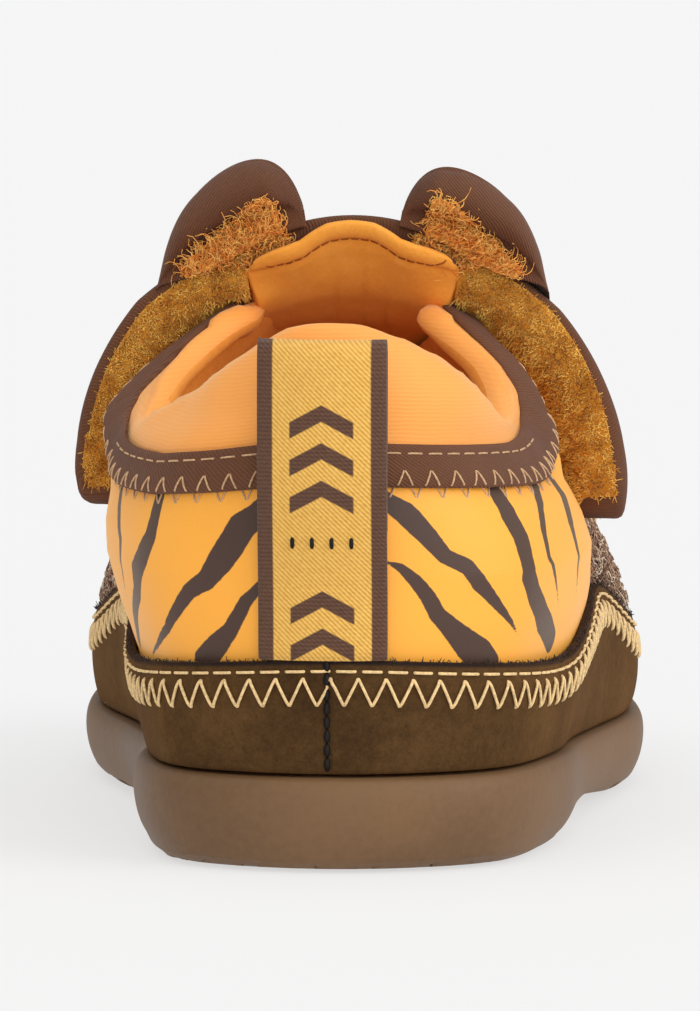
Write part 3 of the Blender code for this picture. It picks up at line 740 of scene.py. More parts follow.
collarLean = {  # how the sewn upper leans, bulges under the band and draws in at its rim, in mm
    "heights": (24, 27, 30, 36, 40, 44, 47, 50, 53, 58, 70),
    "shift": (0.0, 0.0, 0.0, -0.2, -0.6, -1.0, -1.6, -2.0, -2.8, -1.8, -1.5),
    "widen": (0.0, 0.5, 1.2, 2.1, 1.7, 0.8, -0.2, -1.6, -2.3, -1.9, -1.6), "widenOver": 22.0,
    "round": (-75, -60, -48, -36, -24, -14, -6, 6, 14, 24, 36, 48, 60, 75),
    "drop": (0.0, 0.3, 1.4, 2.0, 2.2, 1.2, 0.2, 0.0, 0.4, 1.0, 1.5, 1.2, 0.3, 0.0),
    "dropFrom": (38.0, 50.0), "fade": (-22.0, -9.0),
    "padIn": 2.5, "padY": (-60.0, -50.0), "padFrom": (53.0, 58.0), "padOver": 14.0,
    "bandOut": (3.6, 3.8), "rimOut": (0.3, 0.34),  # inner side, outer side; the rim keeps that share
    "bandFrom": (45.0, 60.0), "bandFoot": (-5.0, 0.0), "bandRim": (1.5, 5.6),
    "vampIn": 2.0, "vampHeight": (24.0, 38.0), "vampFrom": (-16.0, -6.0), "vampTo": (8.0, 34.0), "vampOver": 20.0,
}
bandPoints = pointsOf(frame["nodes"]["collar_band"])
bandMarks = np.linspace(-74, 74, 75)
bandNear = [bandPoints[np.abs(walkOf(bandPoints) - m) < 3.0, 2] / mm for m in bandMarks]
bandMiddle, bandLow = [np.mean(h) for h in bandNear], [np.min(h) for h in bandNear]
bandLow = np.convolve(np.pad(bandLow, 3, mode="edge"), np.full(7, 1 / 7), mode="valid")


def leaned(points):
    look = collarLean
    x, y, height = points.T / mm
    roundAt = walkOf(points)
    fade = 1.0 - easeIn(y, *look["fade"])
    shift = np.interp(height, look["heights"], look["shift"])
    shift += np.interp(height, look["heights"], look["widen"]) * np.clip(x / look["widenOver"], -1, 1)
    heel = 1.0 - easeIn(y, *look["padY"])
    shift += look["padIn"] * heel * easeIn(height, *look["padFrom"]) * np.clip(-x / look["padOver"], 0.0, 1.0)
    over = height - np.interp(roundAt, bandMarks, bandLow)
    rim = 1.0 - np.where(x < 0, *look["rimOut"])
    out = np.where(x < 0, *look["bandOut"]) * easeIn(np.abs(roundAt), *look["bandFrom"])
    out *= easeIn(over, *look["bandFoot"]) * (1.0 - rim * easeIn(over, *look["bandRim"]))
    vamp = look["vampIn"] * easeIn(height, *look["vampHeight"]) * easeIn(y, *look["vampFrom"])
    vamp *= (1.0 - easeIn(y, *look["vampTo"])) * np.clip(x / look["vampOver"], -1, 1)
    drop = np.interp(roundAt, look["round"], look["drop"]) * easeIn(height, *look["dropFrom"])
    moved = points.copy()
    moved[:, 0] += ((shift + out * np.sign(x)) * fade - vamp) * mm
    moved[:, 2] -= drop * fade * mm
    return moved


def fromMiddle(places, level=None):  # from the shoe's middle line to each place, at its own height or one level
    heights = places[:, 2] if level is None else np.full(len(places), level)
    return places - np.column_stack([np.zeros(len(places)), np.clip(places[:, 1], *upperLook["middle"]), heights])


def rimLine(points):  # height of the collar's rim along the walk
    roundAt = walkOf(points)
    marks = np.arange(-71.0, 71.1, 2.0)
    return marks, np.array([points[np.abs(roundAt - m) < 1.6, 2].max() / mm for m in marks])


def rollLip(upper):  # the rim's rolled lip, thicker at the front, with the sewn trough under it
    look = upperLook
    points, normals = pointsOf(upper), normalsOf(upper)
    marks, rims = rimLine(points)
    roundAt = walkOf(points)
    down = np.interp(roundAt, marks, rims) - points[:, 2] / mm
    swell = look["lipSwell"] + look["lipEnd"] * easeIn(np.abs(roundAt), *look["lipEndFrom"])
    swell *= np.sin(np.pi * np.clip(down / look["lipRoll"], 0.0, 1.0))
    swell -= look["lipTrough"] * bell(down, look["lipRoll"] + look["troughDown"], look["troughWide"])
    front = np.sqrt(np.clip((look["quarterEnd"] - points[:, 1] / mm) / look["lipEndRound"], 0.0, 1.0))
    inward = dots(normals, fromMiddle(points)) < 0
    points += normals * (swell * inward * front * mm)[:, None]
    setPoints(upper, points)
    return marks, rims


def fineQuarters(upper):  # closer faces on the printed quarters, so the stripes have clean edges
    intoEdit(upper, "DESELECT", "FACE")
    outOfEdit()
    centres, normals, _ = facesOf(upper)
    height = centres[:, 2] / mm
    chosen = (dots(normals, fromMiddle(centres)) > 0) & (centres[:, 1] < upperLook["quarterEnd"] * mm)
    chosen &= (height > upperLook["quarterLow"]) & (height < np.interp(walkOf(centres), bandMarks, bandMiddle) + 2.0)
    upper.data.polygons.foreach_set("select", chosen)
    bpy.ops.object.mode_set(mode="EDIT")
    bpy.ops.mesh.subdivide(number_cuts=2)
    outOfEdit()


def makeUpper():
    look = upperLook
    upper = shaped("upper", "upperShell", 2)
    bisected(upper, (0, look["quarterEnd"] * mm, 0.04), (0, 1, 0))
    rimMarks, rims = rollLip(upper)
    fineQuarters(upper)
    points = pointsOf(upper)
    roundAt, height = walkOf(points), points[:, 2] / mm
    lay(upper, roundAt, height, np.zeros(len(points)))
    paint(upper, "stripe", stripeDepth(roundAt, height))
    centres, normals, _ = facesOf(upper)
    setPoints(upper, leaned(points))
    outside = dots(normals, fromMiddle(centres, 0.03)) > 0
    faceRound, height = walkOf(centres), centres[:, 2] / mm
    padded = height > np.interp(faceRound, bandMarks, bandMiddle)
    front = centres[:, 1] > look["quarterEnd"] * mm
    lip = np.interp(faceRound, rimMarks, rims) - height < look["lipRoll"]
    choice = np.where(outside, np.where(front, 3, np.where(padded, 1, 0)), np.where(lip & ~front, 4, 2))
    setMaterials(upper, [
        printedMaterial(),
        ribbedMaterial("padded heel cloth", look["pad"], 0.5, 0.0, 0.02, 0.55, 0.5, look["padSheen"], 0.4),
        nappedMaterial("lining cloth", look["lining"], 0.8, 0.2),
        nappedMaterial("vamp cloth", look["vamp"], 0.35, 0.6),
        nappedMaterial("lip cloth", look["lip"], 0.9, 0.08),
    ], choice)
    keep(upper, "upper")
    return upper, rimMarks, rims, choice == 3


def makeLipStitches(upper, marks, rims):  # sewn line inside the collar, under its rolled lip
    look, tree = upperLook, treeOf(upper)

    def inside(distance):
        (x, y), aim = walkRay(distance)
        height = np.interp(distance, marks, rims) - look["lipRoll"] - look["troughDown"]
        found = tree.ray_cast(Vector((x * mm, y * mm, height * mm)), Vector((*aim, 0.0)), 0.05)
        return found[0] and found[:2]

    paths = []
    for start in np.arange(*look["lipRow"]):
        paths.append(sewn(lambda share: inside(start + look["lipLong"] * share), look["lipStitch"]))
    keep(threads("lipStitches", paths, look["lipRadius"], threadMaterial("lip thread", look["lipThread"])))


def makeQuarterSeam(upper):  # beaded edge of the quarters, where the vamp goes under
    look, tree = upperLook, treeOf(upper)
    along = walk["corner"] + look["quarterEnd"] - walk["heelY"] - look["seamIn"]
    paths = []
    for side in (-1, 1):
        for height in np.arange(*look["seamRow"]):
            paths.append(sewn(lambda step: onWall(tree, side * along, height + step), look["seamStitch"]))
    keep(threads("quarterSeam", paths, look["seamRadius"], threadMaterial("seam thread", look["seamThread"])))


upper, rimMarks, rims, vampFaces = makeUpper()
makeLipStitches(upper, rimMarks, rims)
makeQuarterSeam(upper)
print("upper done", len(upper.data.polygons), "faces")

# looped pile on the vamp

vampLook = {
    "brown": (srgb(134, 98, 78), srgb(190, 152, 126)), "cream": (srgb(206, 174, 144), srgb(240, 218, 190)),
    "count": 8600, "creamShare": 0.42, "length": 2.7, "radius": 0.14, "seed": 5,
    "curl": 4.2, "curlWide": 0.34, "lift": 0.42, "throatZ": 45.0, "throatRoom": 6.0, "coverRoom": 12.0,
}


def makeVampPile():
    look = vampLook
    covers = treeOf(*[frame["nodes"][n] for n in ("strap", "foxing", "tongue_flap", "ear_outer", "ear_inner")])
    _, normals, areas = facesOf(upper)
    draw = np.random.default_rng(look["seed"])
    chosen = scattered(areas * vampFaces, look["count"], draw)
    brown, cream = [], []
    for face, start in zip(chosen, spotsOn(upper, chosen, draw)):
        normal = Vector(normals[face])
        side = normal.cross(Vector(draw.normal(0, 1, 3))).normalized()
        other = normal.cross(side)
        reach = look["length"] * mm * draw.uniform(0.7, 1.2)
        pale = draw.uniform() < look["creamShare"]
        throat = start.z > look["throatZ"] * mm and start.y < 0.0
        if covers.ray_cast(start, normal, look["coverRoom"] * mm)[0]:
            continue
        if throat and covers.find_nearest(start, look["throatRoom"] * mm)[0]:
            continue
        path = []
        for share in (0.0, 0.25, 0.5, 0.75, 1.0):  # a loose curl that leaves the cloth and bends back to it
            turn = look["curl"] * share
            bend = normal * (look["lift"] * math.sin(2.6 * share) + 0.04)
            bend += (side * math.sin(turn) + other * (1 - math.cos(turn))) * look["curlWide"]
            path.append((start + bend * reach, 1.0 - 0.35 * share))
        (cream if pale else brown).append(path)
    yarn, paleYarn = strandMaterial("vamp yarn", look["brown"]), strandMaterial("vamp pale yarn", look["cream"])
    keep(strands("vampPile", brown, look["radius"], yarn), None)
    keep(strands("vampTips", cream, look["radius"], paleYarn), None)


makeVampPile()
print("vamp pile done")

# foxing with its stitches and heel seam

foxingLook = {
    "suede": (srgb(54, 37, 20), srgb(98, 70, 40)), "edge": srgb(36, 28, 27), "thread": srgb(244, 208, 150),
    "sheen": srgb(200, 140, 74), "seamX": -0.75, "seamDepth": 0.55, "seamWide": 0.9, "seamThread": srgb(22, 17, 15),
    "seamStitch": ((0.0, -0.1), (0.2, 0.3), (0.6, 0.36), (1.0, 0.3), (1.25, -0.1)),  # step up, rise
    "seamRow": (12.6, 25.0, 1.75), "seamRadius": 0.36,
    "dashDepth": 1.3, "dashStep": 3.2, "dashGap": 0.8, "dashLift": 0.2,
    "zigTop": 2.1, "zigLow": 5.6, "zigStep": 1.72, "zigLift": 0.26, "threadRadius": 0.2,
    "fuzzCount": 5200, "fuzzLength": 0.4, "fuzzRadius": 0.09, "seed": 3,
}


def suedeMaterial():
    look = foxingLook
    material, tree, shader = startMaterial("suede", 0.95, 0.2, look["sheen"], 0.08)
    nap = placed(tree, napGroup, Place=objectPlace(tree))
    body = blended(tree, between(tree, nap["Shade"], 0.3, 0.8), *look["suede"])
    coloured(tree, shader, between(tree, attribute(tree, "below"), 0.25, 0.75), look["edge"], body)
    raised(tree, shader, nap["Height"], 0.22)
    return material


def makeFoxing():
    look = foxingLook
    foxing = shaped("foxing", "foxingBand", 2, (50, 0.75))
    for share in (-1.0, -0.5, 0.0, 0.5, 1.0):
        bisected(foxing, ((look["seamX"] + share * look["seamWide"]) * mm, 0, 0), (1, 0, 0))
    points, normals = pointsOf(foxing), normalsOf(foxing)
    near = np.clip(1.0 - np.abs(points[:, 0] / mm - look["seamX"]) / look["seamWide"], 0.0, 1.0)
    trough = (points[:, 1] < -0.06) & (normals[:, 1] < -0.5)
    points[:, 1] += look["seamDepth"] * mm * near**1.5 * trough  # the butt seam's soft trough
    setPoints(foxing, points)
    tree = treeOf(foxing)
    distances = np.linspace(-walk["half"] + 0.3, walk["half"] - 0.3, 340)
    tops = np.array([edgeHeight(tree, d, 17.0, 36.0) for d in distances])
    paint(foxing, "below", np.interp(walkOf(points), distances, tops) - points[:, 2] / mm)
    foxing.data.materials.append(suedeMaterial())
    keep(foxing, "foxing")
    return tree, distances, tops


def makeFoxingStitches(tree, distances, tops):
    look = foxingLook
    along, heights = evenly(tree, distances, tops - look["dashDepth"], look["dashStep"])
    share = 1.0 - look["dashGap"] / look["dashStep"]
    paths = [dash(tree, along, heights, k, share, look["dashLift"]) for k in range(len(along) - 1)]
    along, heights = evenly(tree, distances, tops - look["zigTop"], look["zigStep"])
    heights[1::2] -= look["zigLow"] - look["zigTop"]
    paths += [dash(tree, along, heights, k, 1.0, look["zigLift"]) for k in range(len(along) - 1)]
    keep(threads("foxingStitches", paths, look["threadRadius"], threadMaterial("cream thread", look["thread"])))
    seams = []
    for height in np.arange(*look["seamRow"]):
        seams.append(sewn(lambda step: fromBehind(tree, look["seamX"] * mm, height + step), look["seamStitch"]))
    keep(threads("heelSeamStitches", seams, look["seamRadius"], threadMaterial("dark thread", look["seamThread"])))


def makeRawEdge(tree, distances, tops):  # frayed fibres along the foxing's cut edge
    look = foxingLook
    draw = np.random.default_rng(look["seed"])
    paths = []
    for _ in range(look["fuzzCount"]):
        distance = draw.uniform(distances[0], distances[-1])
        found = onWall(tree, distance, np.interp(distance, distances, tops) - draw.uniform(0.02, 0.3))
        if not found:
            continue
        place, outward = found
        start = place - outward * draw.uniform(0.1, 1.0) * mm
        aim = Vector((0, 0, 1)) + outward * draw.normal(0.15, 0.5) + Vector(draw.normal(0, 0.45, 3))
        curl = Vector(draw.normal(0, 0.5, 3))
        reach = look["fuzzLength"] * mm * draw.uniform(0.4, 1.0)
        shares = (0.0, 0.4, 0.75, 1.0)
        paths.append([(start + (aim * s + curl * s**2) * reach, 1.0 - 0.5 * s) for s in shares])
    yarn = strandMaterial("frayed suede", (look["edge"], look["suede"][0]))
    keep(strands("foxingFray", paths, look["fuzzRadius"], yarn), None)


foxingEdge = makeFoxing()
makeFoxingStitches(*foxingEdge)
makeRawEdge(*foxingEdge)
print("foxing stitched")

# collar band

brownCloth = (srgb(78, 45, 29), srgb(124, 81, 56))
bandLook = {
    "thread": srgb(214, 172, 130), "radius": 0.13, "stitchEnd": 8.0, "loopRoom": 0.6,
    "dashAt": 0.2, "dashEnd": 44.0, "dashStep": 3.0, "dashShare": 0.72, "dashLift": 0.06,
    "zigAt": 0.6, "zigTop": 0.56, "zigLow": 1.26, "zigStep": 1.85, "zigLift": 0.08,
    "topDrop": 1.4, "dropFrom": (43.0, 56.0), "dropEnd": (58.0, 70.0), "dropBack": 0.4, "dropUp": (0.3, 1.0),
}


def makeBand():
    look = bandLook
    band = shaped("collar_band", "collarBand", 2, (55, 0.5))
    points = pointsOf(band)
    roundAt = walkOf(points)
    lay(band, roundAt, points[:, 2] / mm, points[:, 1] / mm)
    low, middle = np.interp(roundAt, bandMarks, bandLow), np.interp(roundAt, bandMarks, bandMiddle)
    share = (points[:, 2] / mm - low) / (middle - low) / 2  # up the band
    drop = look["topDrop"] * easeIn(np.abs(roundAt), *look["dropFrom"]) * easeIn(share, *look["dropUp"])
    drop *= 1.0 - look["dropBack"] * easeIn(np.abs(roundAt), *look["dropEnd"])
    points[:, 2] -= drop * mm  # narrower towards its front ends, where the lip shows more
    setPoints(band, leaned(points))
    band.data.materials.append(ribbedMaterial("ribbed band", brownCloth, 0.62, 0.9))
    keep(band, "collar_band")
    return band


def makeBandStitches(band):
    look = bandLook
    bandTree, bothTree = treeOf(band), treeOf(band, upper)
    points = pointsOf(band)
    roundAt = walkOf(points)
    ends = np.abs(roundAt).max() - look["stitchEnd"]
    distances = np.linspace(-ends, ends, 240)
    middles = np.array([np.mean(points[np.abs(roundAt - d) < 1.5, 2]) / mm for d in distances])
    tops = np.array([edgeHeight(bandTree, d, m, m + 9) for d, m in zip(distances, middles)])
    lows = np.array([edgeHeight(bandTree, d, m, m - 9) for d, m in zip(distances, middles)])
    loopLow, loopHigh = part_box("pull_loop")
    left, right = loopLow.x / mm - look["loopRoom"], loopHigh.x / mm + look["loopRoom"]

    def shown(along, k):  # not under the pull loop
        return not (left < along[k] < right and left < along[k + 1] < right)

    paths = []
    along, heights = evenly(bandTree, distances, tops + (lows - tops) * look["dashAt"], look["dashStep"])
    for k in range(len(along) - 1):
        if shown(along, k) and abs(along[k]) < look["dashEnd"]:
            paths.append(dash(bothTree, along, heights, k, look["dashShare"], look["dashLift"]))
    along, heights = evenly(bandTree, distances, tops + (lows - tops) * look["zigAt"], look["zigStep"])
    spans = np.interp(along, distances, lows - tops)
    heights[0::2] += spans[0::2] * (look["zigTop"] - look["zigAt"])
    heights[1::2] += spans[1::2] * (look["zigLow"] - look["zigAt"])
    for k in range(len(along) - 1):
        if shown(along, k):
            lift = look["zigLift"] if abs(along[k]) < look["dashEnd"] else 0.0
            paths.append(dash(bothTree, along, heights, k, 1.0, lift))
    keep(threads("bandStitches", paths, look["radius"], threadMaterial("pale thread", look["thread"])))


band = makeBand()
makeBandStitches(band)
print("collar band done")

# pull loop of webbing

loopLook = {
    "ochre": (srgb(200, 141, 48), srgb(246, 198, 104)), "brown": (srgb(76, 48, 34), srgb(104, 70, 50)),
    "edge": 6.0, "soft": 0.12, "twill": 0.62, "cross": 0.5,
    "motifHalf": 3.9, "motifPitch": 4.6, "motifSlope": 0.55, "bar": ((0.08, 0.13), (0.52, 0.57)),
    "upperMotif": ((45.9, 46.0), (59.8, 59.9)), "lowerMotif": (36.8, 36.9),
    "tack": 40.7, "tackFirst": -3.6, "tackStep": 2.4, "tackRadius": 0.26,
    "tackStitch": ((-0.55, -0.15), (-0.3, 0.14), (0.0, 0.2), (0.3, 0.14), (0.55, -0.15)),
    "reach": 1.1, "footTop": 30.0, "footDeep": 3.0,
}


def webbingMaterial(middle):
    look = loopLook
    material, tree, shader = startMaterial("webbing", 0.75, 0.15, specular=0.3)
    scaled = tree.nodes.new("ShaderNodeMapping")
    scaled.inputs["Location"].default_value = (-middle / mm, 0, 0)
    scaled.inputs["Scale"].default_value = (1 / mm, 1 / mm, 1 / mm)
    tree.links.new(objectPlace(tree), scaled.inputs["Vector"])
    parts = split(tree, scaled.outputs[0])
    x, z = parts["X"], parts["Z"]
    side = sums(tree, "ABSOLUTE", x)
    twill = rippled(tree, sums(tree, "ADD", x, z), look["twill"])
    cross = rippled(tree, z, look["cross"])
    fibre = cloudy(tree, scaled.outputs[0], 1.6, 3.0, 0.65)
    # the ochre is lighter on the twill ridges and darker in its hollows, as painted shade, with random fibre tone; the
    # brown edges carry the same painted shade along their cross ribs
    weft = sums(tree, "MULTIPLY_ADD", twill, 0.3, sums(tree, "MULTIPLY_ADD", fibre, 0.7, 0.15))
    ochre = blended(tree, weft, *look["ochre"])
    brown = blended(tree, sums(tree, "MULTIPLY_ADD", cross, 0.3, fibre), *look["brown"])
    chevron = sums(tree, "MULTIPLY_ADD", side, look["motifSlope"], z)
    phase = sums(tree, "FRACT", sums(tree, "DIVIDE", chevron, look["motifPitch"]))
    first, last = look["bar"]
    bar = sums(tree, "MULTIPLY", between(tree, phase, *first), below(tree, phase, *last))
    inside = below(tree, side, look["motifHalf"] - look["soft"], look["motifHalf"] + look["soft"])
    first, last = look["upperMotif"]
    rows = sums(tree, "MULTIPLY", between(tree, chevron, *first), below(tree, chevron, *last))
    rows = sums(tree, "MAXIMUM", rows, below(tree, chevron, *look["lowerMotif"]))
    motif = sums(tree, "MULTIPLY", sums(tree, "MULTIPLY", bar, inside), rows)
    edges = between(tree, side, look["edge"] - look["soft"], look["edge"] + look["soft"])
    coloured(tree, shader, sums(tree, "MAXIMUM", motif, edges), ochre, brown)
    raised(tree, shader, weighed(tree, (twill, 0.3), (cross, 0.2), (fibre, 0.5)), 0.12)
    return material


def makeLoop():
    look = loopLook
    loop = shaped("pull_loop", "pullLoop", 2, (60, 0.8))
    low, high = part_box("pull_loop")
    middle = 0.5 * (low.x + high.x)
    points = pointsOf(loop)
    foot = np.clip((look["footTop"] - points[:, 2] / mm) / look["footDeep"], 0.0, 1.0)
    points[:, 2] -= look["reach"] * mm * foot  # the foot runs down to the foxing
    setPoints(loop, points)
    loop.data.materials.append(webbingMaterial(middle))
    keep(loop, "pull_loop")
    tree = treeOf(loop)
    tacks = []
    for k in range(4):
        x = middle + (look["tackFirst"] + look["tackStep"] * k) * mm
        tacks.append(sewn(lambda step: fromBehind(tree, x, look["tack"] + step), look["tackStitch"]))
    keep(threads("loopTack", tacks, look["tackRadius"], bpy.data.materials["dark thread"]))


makeLoop()
print("pull loop done")

# tongue flap, strap and ears

spine = {"height": 39.2, "slope": 0.42, "y": -17.38}  # the line under the instep that flap and strap are bent round


def spineHeight(y):
    return spine["height"] - spine["slope"] * (y / mm - spine["y"])


def aroundSpine(points):  # angle, radius round that line and distance along it, in mm
    rise = points[:, 2] / mm - spineHeight(points[:, 1])
    across = points[:, 0] / mm
    return np.arctan2(across, rise), np.hypot(across, rise), points[:, 1] / mm


def radialOf(points):  # unit vectors away from that line
    angle = aroundSpine(points)[0]
    return np.column_stack([np.sin(angle), np.zeros(len(angle)), np.cos(angle)])


def pushed(points, amount):  # moves points away from that line, in mm
    return points + radialOf(points) * (amount * mm)[:, None]


flapLook = {
    "lining": (srgb(233, 147, 49), srgb(246, 172, 76)), "thread": srgb(160, 84, 26), "threadRadius": 0.13,
    "hump": ((0, 5, 8, 11, 14, 18, 20, 25), (1.5, 1.35, 0.8, 0.2, 0.3, 1.0, 1.5, 2.6)),  # degrees, rise
    "rear": (1.0, 6.0), "wider": 0.08, "widerFrom": (9.0, 20.0), "tuck": 2.0, "tuckFrom": (14.0, 24.0),
    "plump": 2.6, "plumpFrom": (0.5, 9.0), "plumpTo": (-8.0, 8.0), "clothFrom": -19.2,
    "creases": (-4.5, 2.6, 8.5), "creaseDepth": 0.22, "creaseWide": 0.9, "creaseFrom": (2.0, 5.0), "layRadius": 33,
    "groove": 0.45, "grooveWide": 0.45, "stitchIn": 1.5, "stitchRow": (-22.0, 21.0, 2.2), "stitchLong": 1.8,
    "stitch": ((0.0, -0.2), (0.15, 0.06), (0.5, 0.06), (0.85, 0.06), (1.0, -0.2)),  # share of the stitch, rise
}


def makeFlap():
    look = flapLook
    flap = shaped("tongue_flap", "tongueFlap", 3, (60, 0.3))
    points, normals = pointsOf(flap), normalsOf(flap)
    angle, radius, along = aroundSpine(points)
    turn, back = np.degrees(angle), along - along.min()
    inner = dots(normals, radialOf(points)) < -0.4
    rear = 1.0 - easeIn(back, *look["rear"])
    shift = np.interp(np.abs(turn), *look["hump"]) * rear
    plump = easeIn(back, *look["plumpFrom"]) * (1.0 - easeIn(along, *look["plumpTo"]))
    shift -= inner * look["plump"] * plump  # a padded inner face
    for where in look["creases"]:  # soft upright creases in the lining
        crease = bell(turn, where, look["creaseWide"]) * easeIn(back, *look["creaseFrom"])
        shift += inner * look["creaseDepth"] * crease
    shift += inner * look["groove"] * bell(back, look["stitchIn"], look["grooveWide"])
    wider = angle * (1.0 + look["wider"] * easeIn(np.abs(turn), *look["widerFrom"]) * rear)
    rise = spineHeight(points[:, 1])
    points[:, 0] = (radius + shift) * np.sin(wider) * mm
    points[:, 1] += look["tuck"] * easeIn(np.abs(turn), *look["tuckFrom"]) * rear * mm
    points[:, 2] = (rise + (radius + shift) * np.cos(wider)) * mm
    setPoints(flap, points)
    lay(flap, angle * look["layRadius"], along, radius)
    centres, normals, _ = facesOf(flap)
    outside = (dots(normals, radialOf(centres)) > 0.35) & (centres[:, 1] > look["clothFrom"] * mm)
    setMaterials(flap, [
        nappedMaterial("flap lining", look["lining"], 0.8, 0.12),
        ribbedMaterial("flap cloth", brownCloth, 0.42, 1.0),
    ], outside)
    keep(flap, "tongue_flap")
    tree = treeOf(flap)
    y = (along.min() + look["stitchIn"]) * mm

    def inside(degrees):
        bend = math.radians(degrees)
        aim = Vector((math.sin(bend), 0, math.cos(bend)))
        place = tree.ray_cast(Vector((0, y, spineHeight(y) * mm)), aim, 0.05)[0]
        return place and (place, -aim)

    paths = []
    for start in np.arange(*look["stitchRow"]):
        paths.append(sewn(lambda share: inside(start + look["stitchLong"] * share), look["stitch"]))
    keep(threads("flapStitches", paths, look["threadRadius"], threadMaterial("flap thread", look["thread"])))
    return flap


strapLook = {
    "pile": (srgb(206, 138, 42), srgb(255, 210, 102)), "ground": (srgb(186, 122, 34), srgb(230, 168, 66)),
    "pileCount": 23500, "pileLength": 0.7, "pileRadius": 0.085, "pileReach": 9.5, "pileFrom": 13.0, "seed": 11,
    "pileRise": 0.8, "pileLean": 0.45, "pileRoom": 0.9, "pileNear": 0.6, "pilePatches": 420.0, "layRadius": 35,
    "roll": 4.6, "rollDeep": 9.0, "rollRoom": 0.7, "rollReach": 12.0, "rim": 1.7, "rimDeep": 2.5,
    "flare": ((-88, -76, -62, -46, -36, -26, 26, 36, 46, 62, 76, 88),
              (0.0, 0.2, 1.1, 2.0, 1.5, 0.0, 0.0, 1.2, 1.5, 0.8, 0.2, 0.0)),
    "flareEnd": (5.0, 24.0),
    "crown": ((-90, -80, -30, -16, 0, 16, 32, 40, 90),  # the strap's outside at its rear edge
              (35.2, 36.0, 36.05, 37.1, 37.55, 37.2, 35.7, 35.36, 35.15)),
    "fluffTurn": (13, 31), "fluffRise": 30.2, "fluffDeep": 1.5,
}
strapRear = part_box("strap")[0].y / mm


def flared(points, part=1.0):  # the strap's rear edge stands off a little on both sides, and the ears go with it
    angle, _, along = aroundSpine(points)
    fade = 1.0 - easeIn(along - strapRear, *strapLook["flareEnd"])
    return pushed(points, np.interp(np.degrees(angle), *strapLook["flare"]) * fade * part)


def makeStrap():
    look = strapLook
    strap = shaped("strap", "instepStrap", 2, (60, 0.3))
    points, normals = pointsOf(strap), normalsOf(strap)
    angle, radius, along = aroundSpine(points)
    lay(strap, angle * look["layRadius"], along, radius)
    centres, faceNormals, _ = facesOf(strap)
    faceAngle, faceRadius, faceAlong = aroundSpine(centres)
    faceTurn = np.abs(np.degrees(faceAngle))
    spun = np.column_stack([np.cos(faceAngle), np.zeros(len(faceAngle)), -np.sin(faceAngle)])
    ends = np.abs(dots(faceNormals, spun)) > 0.5
    crown = np.interp(np.degrees(faceAngle), *look["crown"])
    rimmed = (faceAlong < along.min() + look["rimDeep"]) & (faceRadius < crown - look["rim"])
    inner = (dots(faceNormals, radialOf(centres)) < -0.3) | rimmed
    piled = inner & ~ends & (faceTurn > look["pileFrom"]) & (faceNormals[:, 1] < 0.1)
    points = flared(points)
    covered = treeOf(upper, flap, band)
    radial = radialOf(points)
    deep = (along - along.min()) / look["rollDeep"]
    under = dots(normals, radial) < -0.3
    for k in np.flatnonzero(under & (deep < 1.0)):  # the pile's roll fills the room over the collar
        inward = Vector(-radial[k])
        place, _, _, gap = covered.ray_cast(Vector(points[k]), inward, look["rollReach"] * mm)
        room = gap - look["rollRoom"] * mm if place else look["roll"] * mm
        push = look["roll"] * mm * math.sqrt(max(0.0, 1.0 - (2 * deep[k] - 1) ** 2))
        points[k] += np.array(inward) * max(0.0, min(push, room))
    setPoints(strap, points)
    centres, normals, areas = facesOf(strap)
    faceRise = centres[:, 2] / mm - spineHeight(centres[:, 1])
    first, last = look["fluffTurn"]
    fluffy = (normals[:, 1] < -0.1) & (faceAlong < along.min() + look["fluffDeep"])
    fluffy &= (faceTurn > first) & (faceTurn < last) & (faceRise > look["fluffRise"])
    setMaterials(strap, [
        ribbedMaterial("ribbed strap", brownCloth, 0.42, 1.0),
        nappedMaterial("pile ground", look["ground"], 0.5, 0.4),
        nappedMaterial("fluff ground", earLook["fluff"], 0.5, 0.4),
    ], np.where(fluffy, 2, piled))
    keep(strap, "strap")
    draw = np.random.default_rng(look["seed"])
    shown = piled & (centres[:, 1] < centres[:, 1].min() + look["pileReach"] * mm)
    chosen = scattered(areas * shown, look["pileCount"], draw)
    paths = []
    for face, start in zip(chosen, spotsOn(strap, chosen, draw)):
        normal = Vector(normals[face])
        lean = Vector(draw.normal(0, look["pileLean"], 3))
        reach = look["pileLength"] * mm * draw.uniform(0.6, 1.15)
        if covered.ray_cast(start, normal, look["pileRoom"] * mm)[0]:
            continue
        if not covered.find_nearest(start, look["pileNear"] * mm)[0]:
            paths.append([(start, 1.0), (start + (normal * look["pileRise"] + lean) * reach, 0.5)])
    yarn = strandMaterial("pile yarn", look["pile"], look["pilePatches"])
    keep(strands("strapPile", paths, look["pileRadius"], yarn), None)
    return strap, fluffy


earLook = {  # pairs are the inner ear, then the outer one
    "fluff": (srgb(242, 152, 56), srgb(255, 200, 104)), "fluffCount": 1500, "fluffLength": 2.8, "fluffRadius": 0.09,
    "seed": 23, "puff": 3.2, "puffFrom": (9.5, 15.0), "puffTo": (30.0, 42.0),
    "puffHeight": ((9.4, 11.8, 14.2, 18.0, 22.6, 27.6, 33.0, 38.4, 42.5),  # degrees, height of the rear face
                   (2.0, 7.0, 8.7, 9.3, 8.8, 7.4, 5.4, 3.0, 1.2)),
    "puffAt": 0.68, "puffWide": 0.38, "layRadius": 40,
    "tailFrom": 27.0, "tail": 15.5, "size": (1.0, 0.9), "flare": (0.3, 1.0),
    "flank": (0.5, 0.9), "flankAt": 29.0, "flankWide": 8.0, "flankRise": 4.0,
    "skirt": 2.3, "skirtBack": 0.55, "skirtY": -17.6, "skirtEnd": (35.0, 42.0),
    "patchFrom": (14.0, 15.2), "patchTo": 36.0, "patchY": -15.5,
    "patchTop": ((12, 14, 17, 21, 26, 34, 38), (0.4, 2.2, 2.9, 2.4, 1.5, 0.2, -0.8)),
}


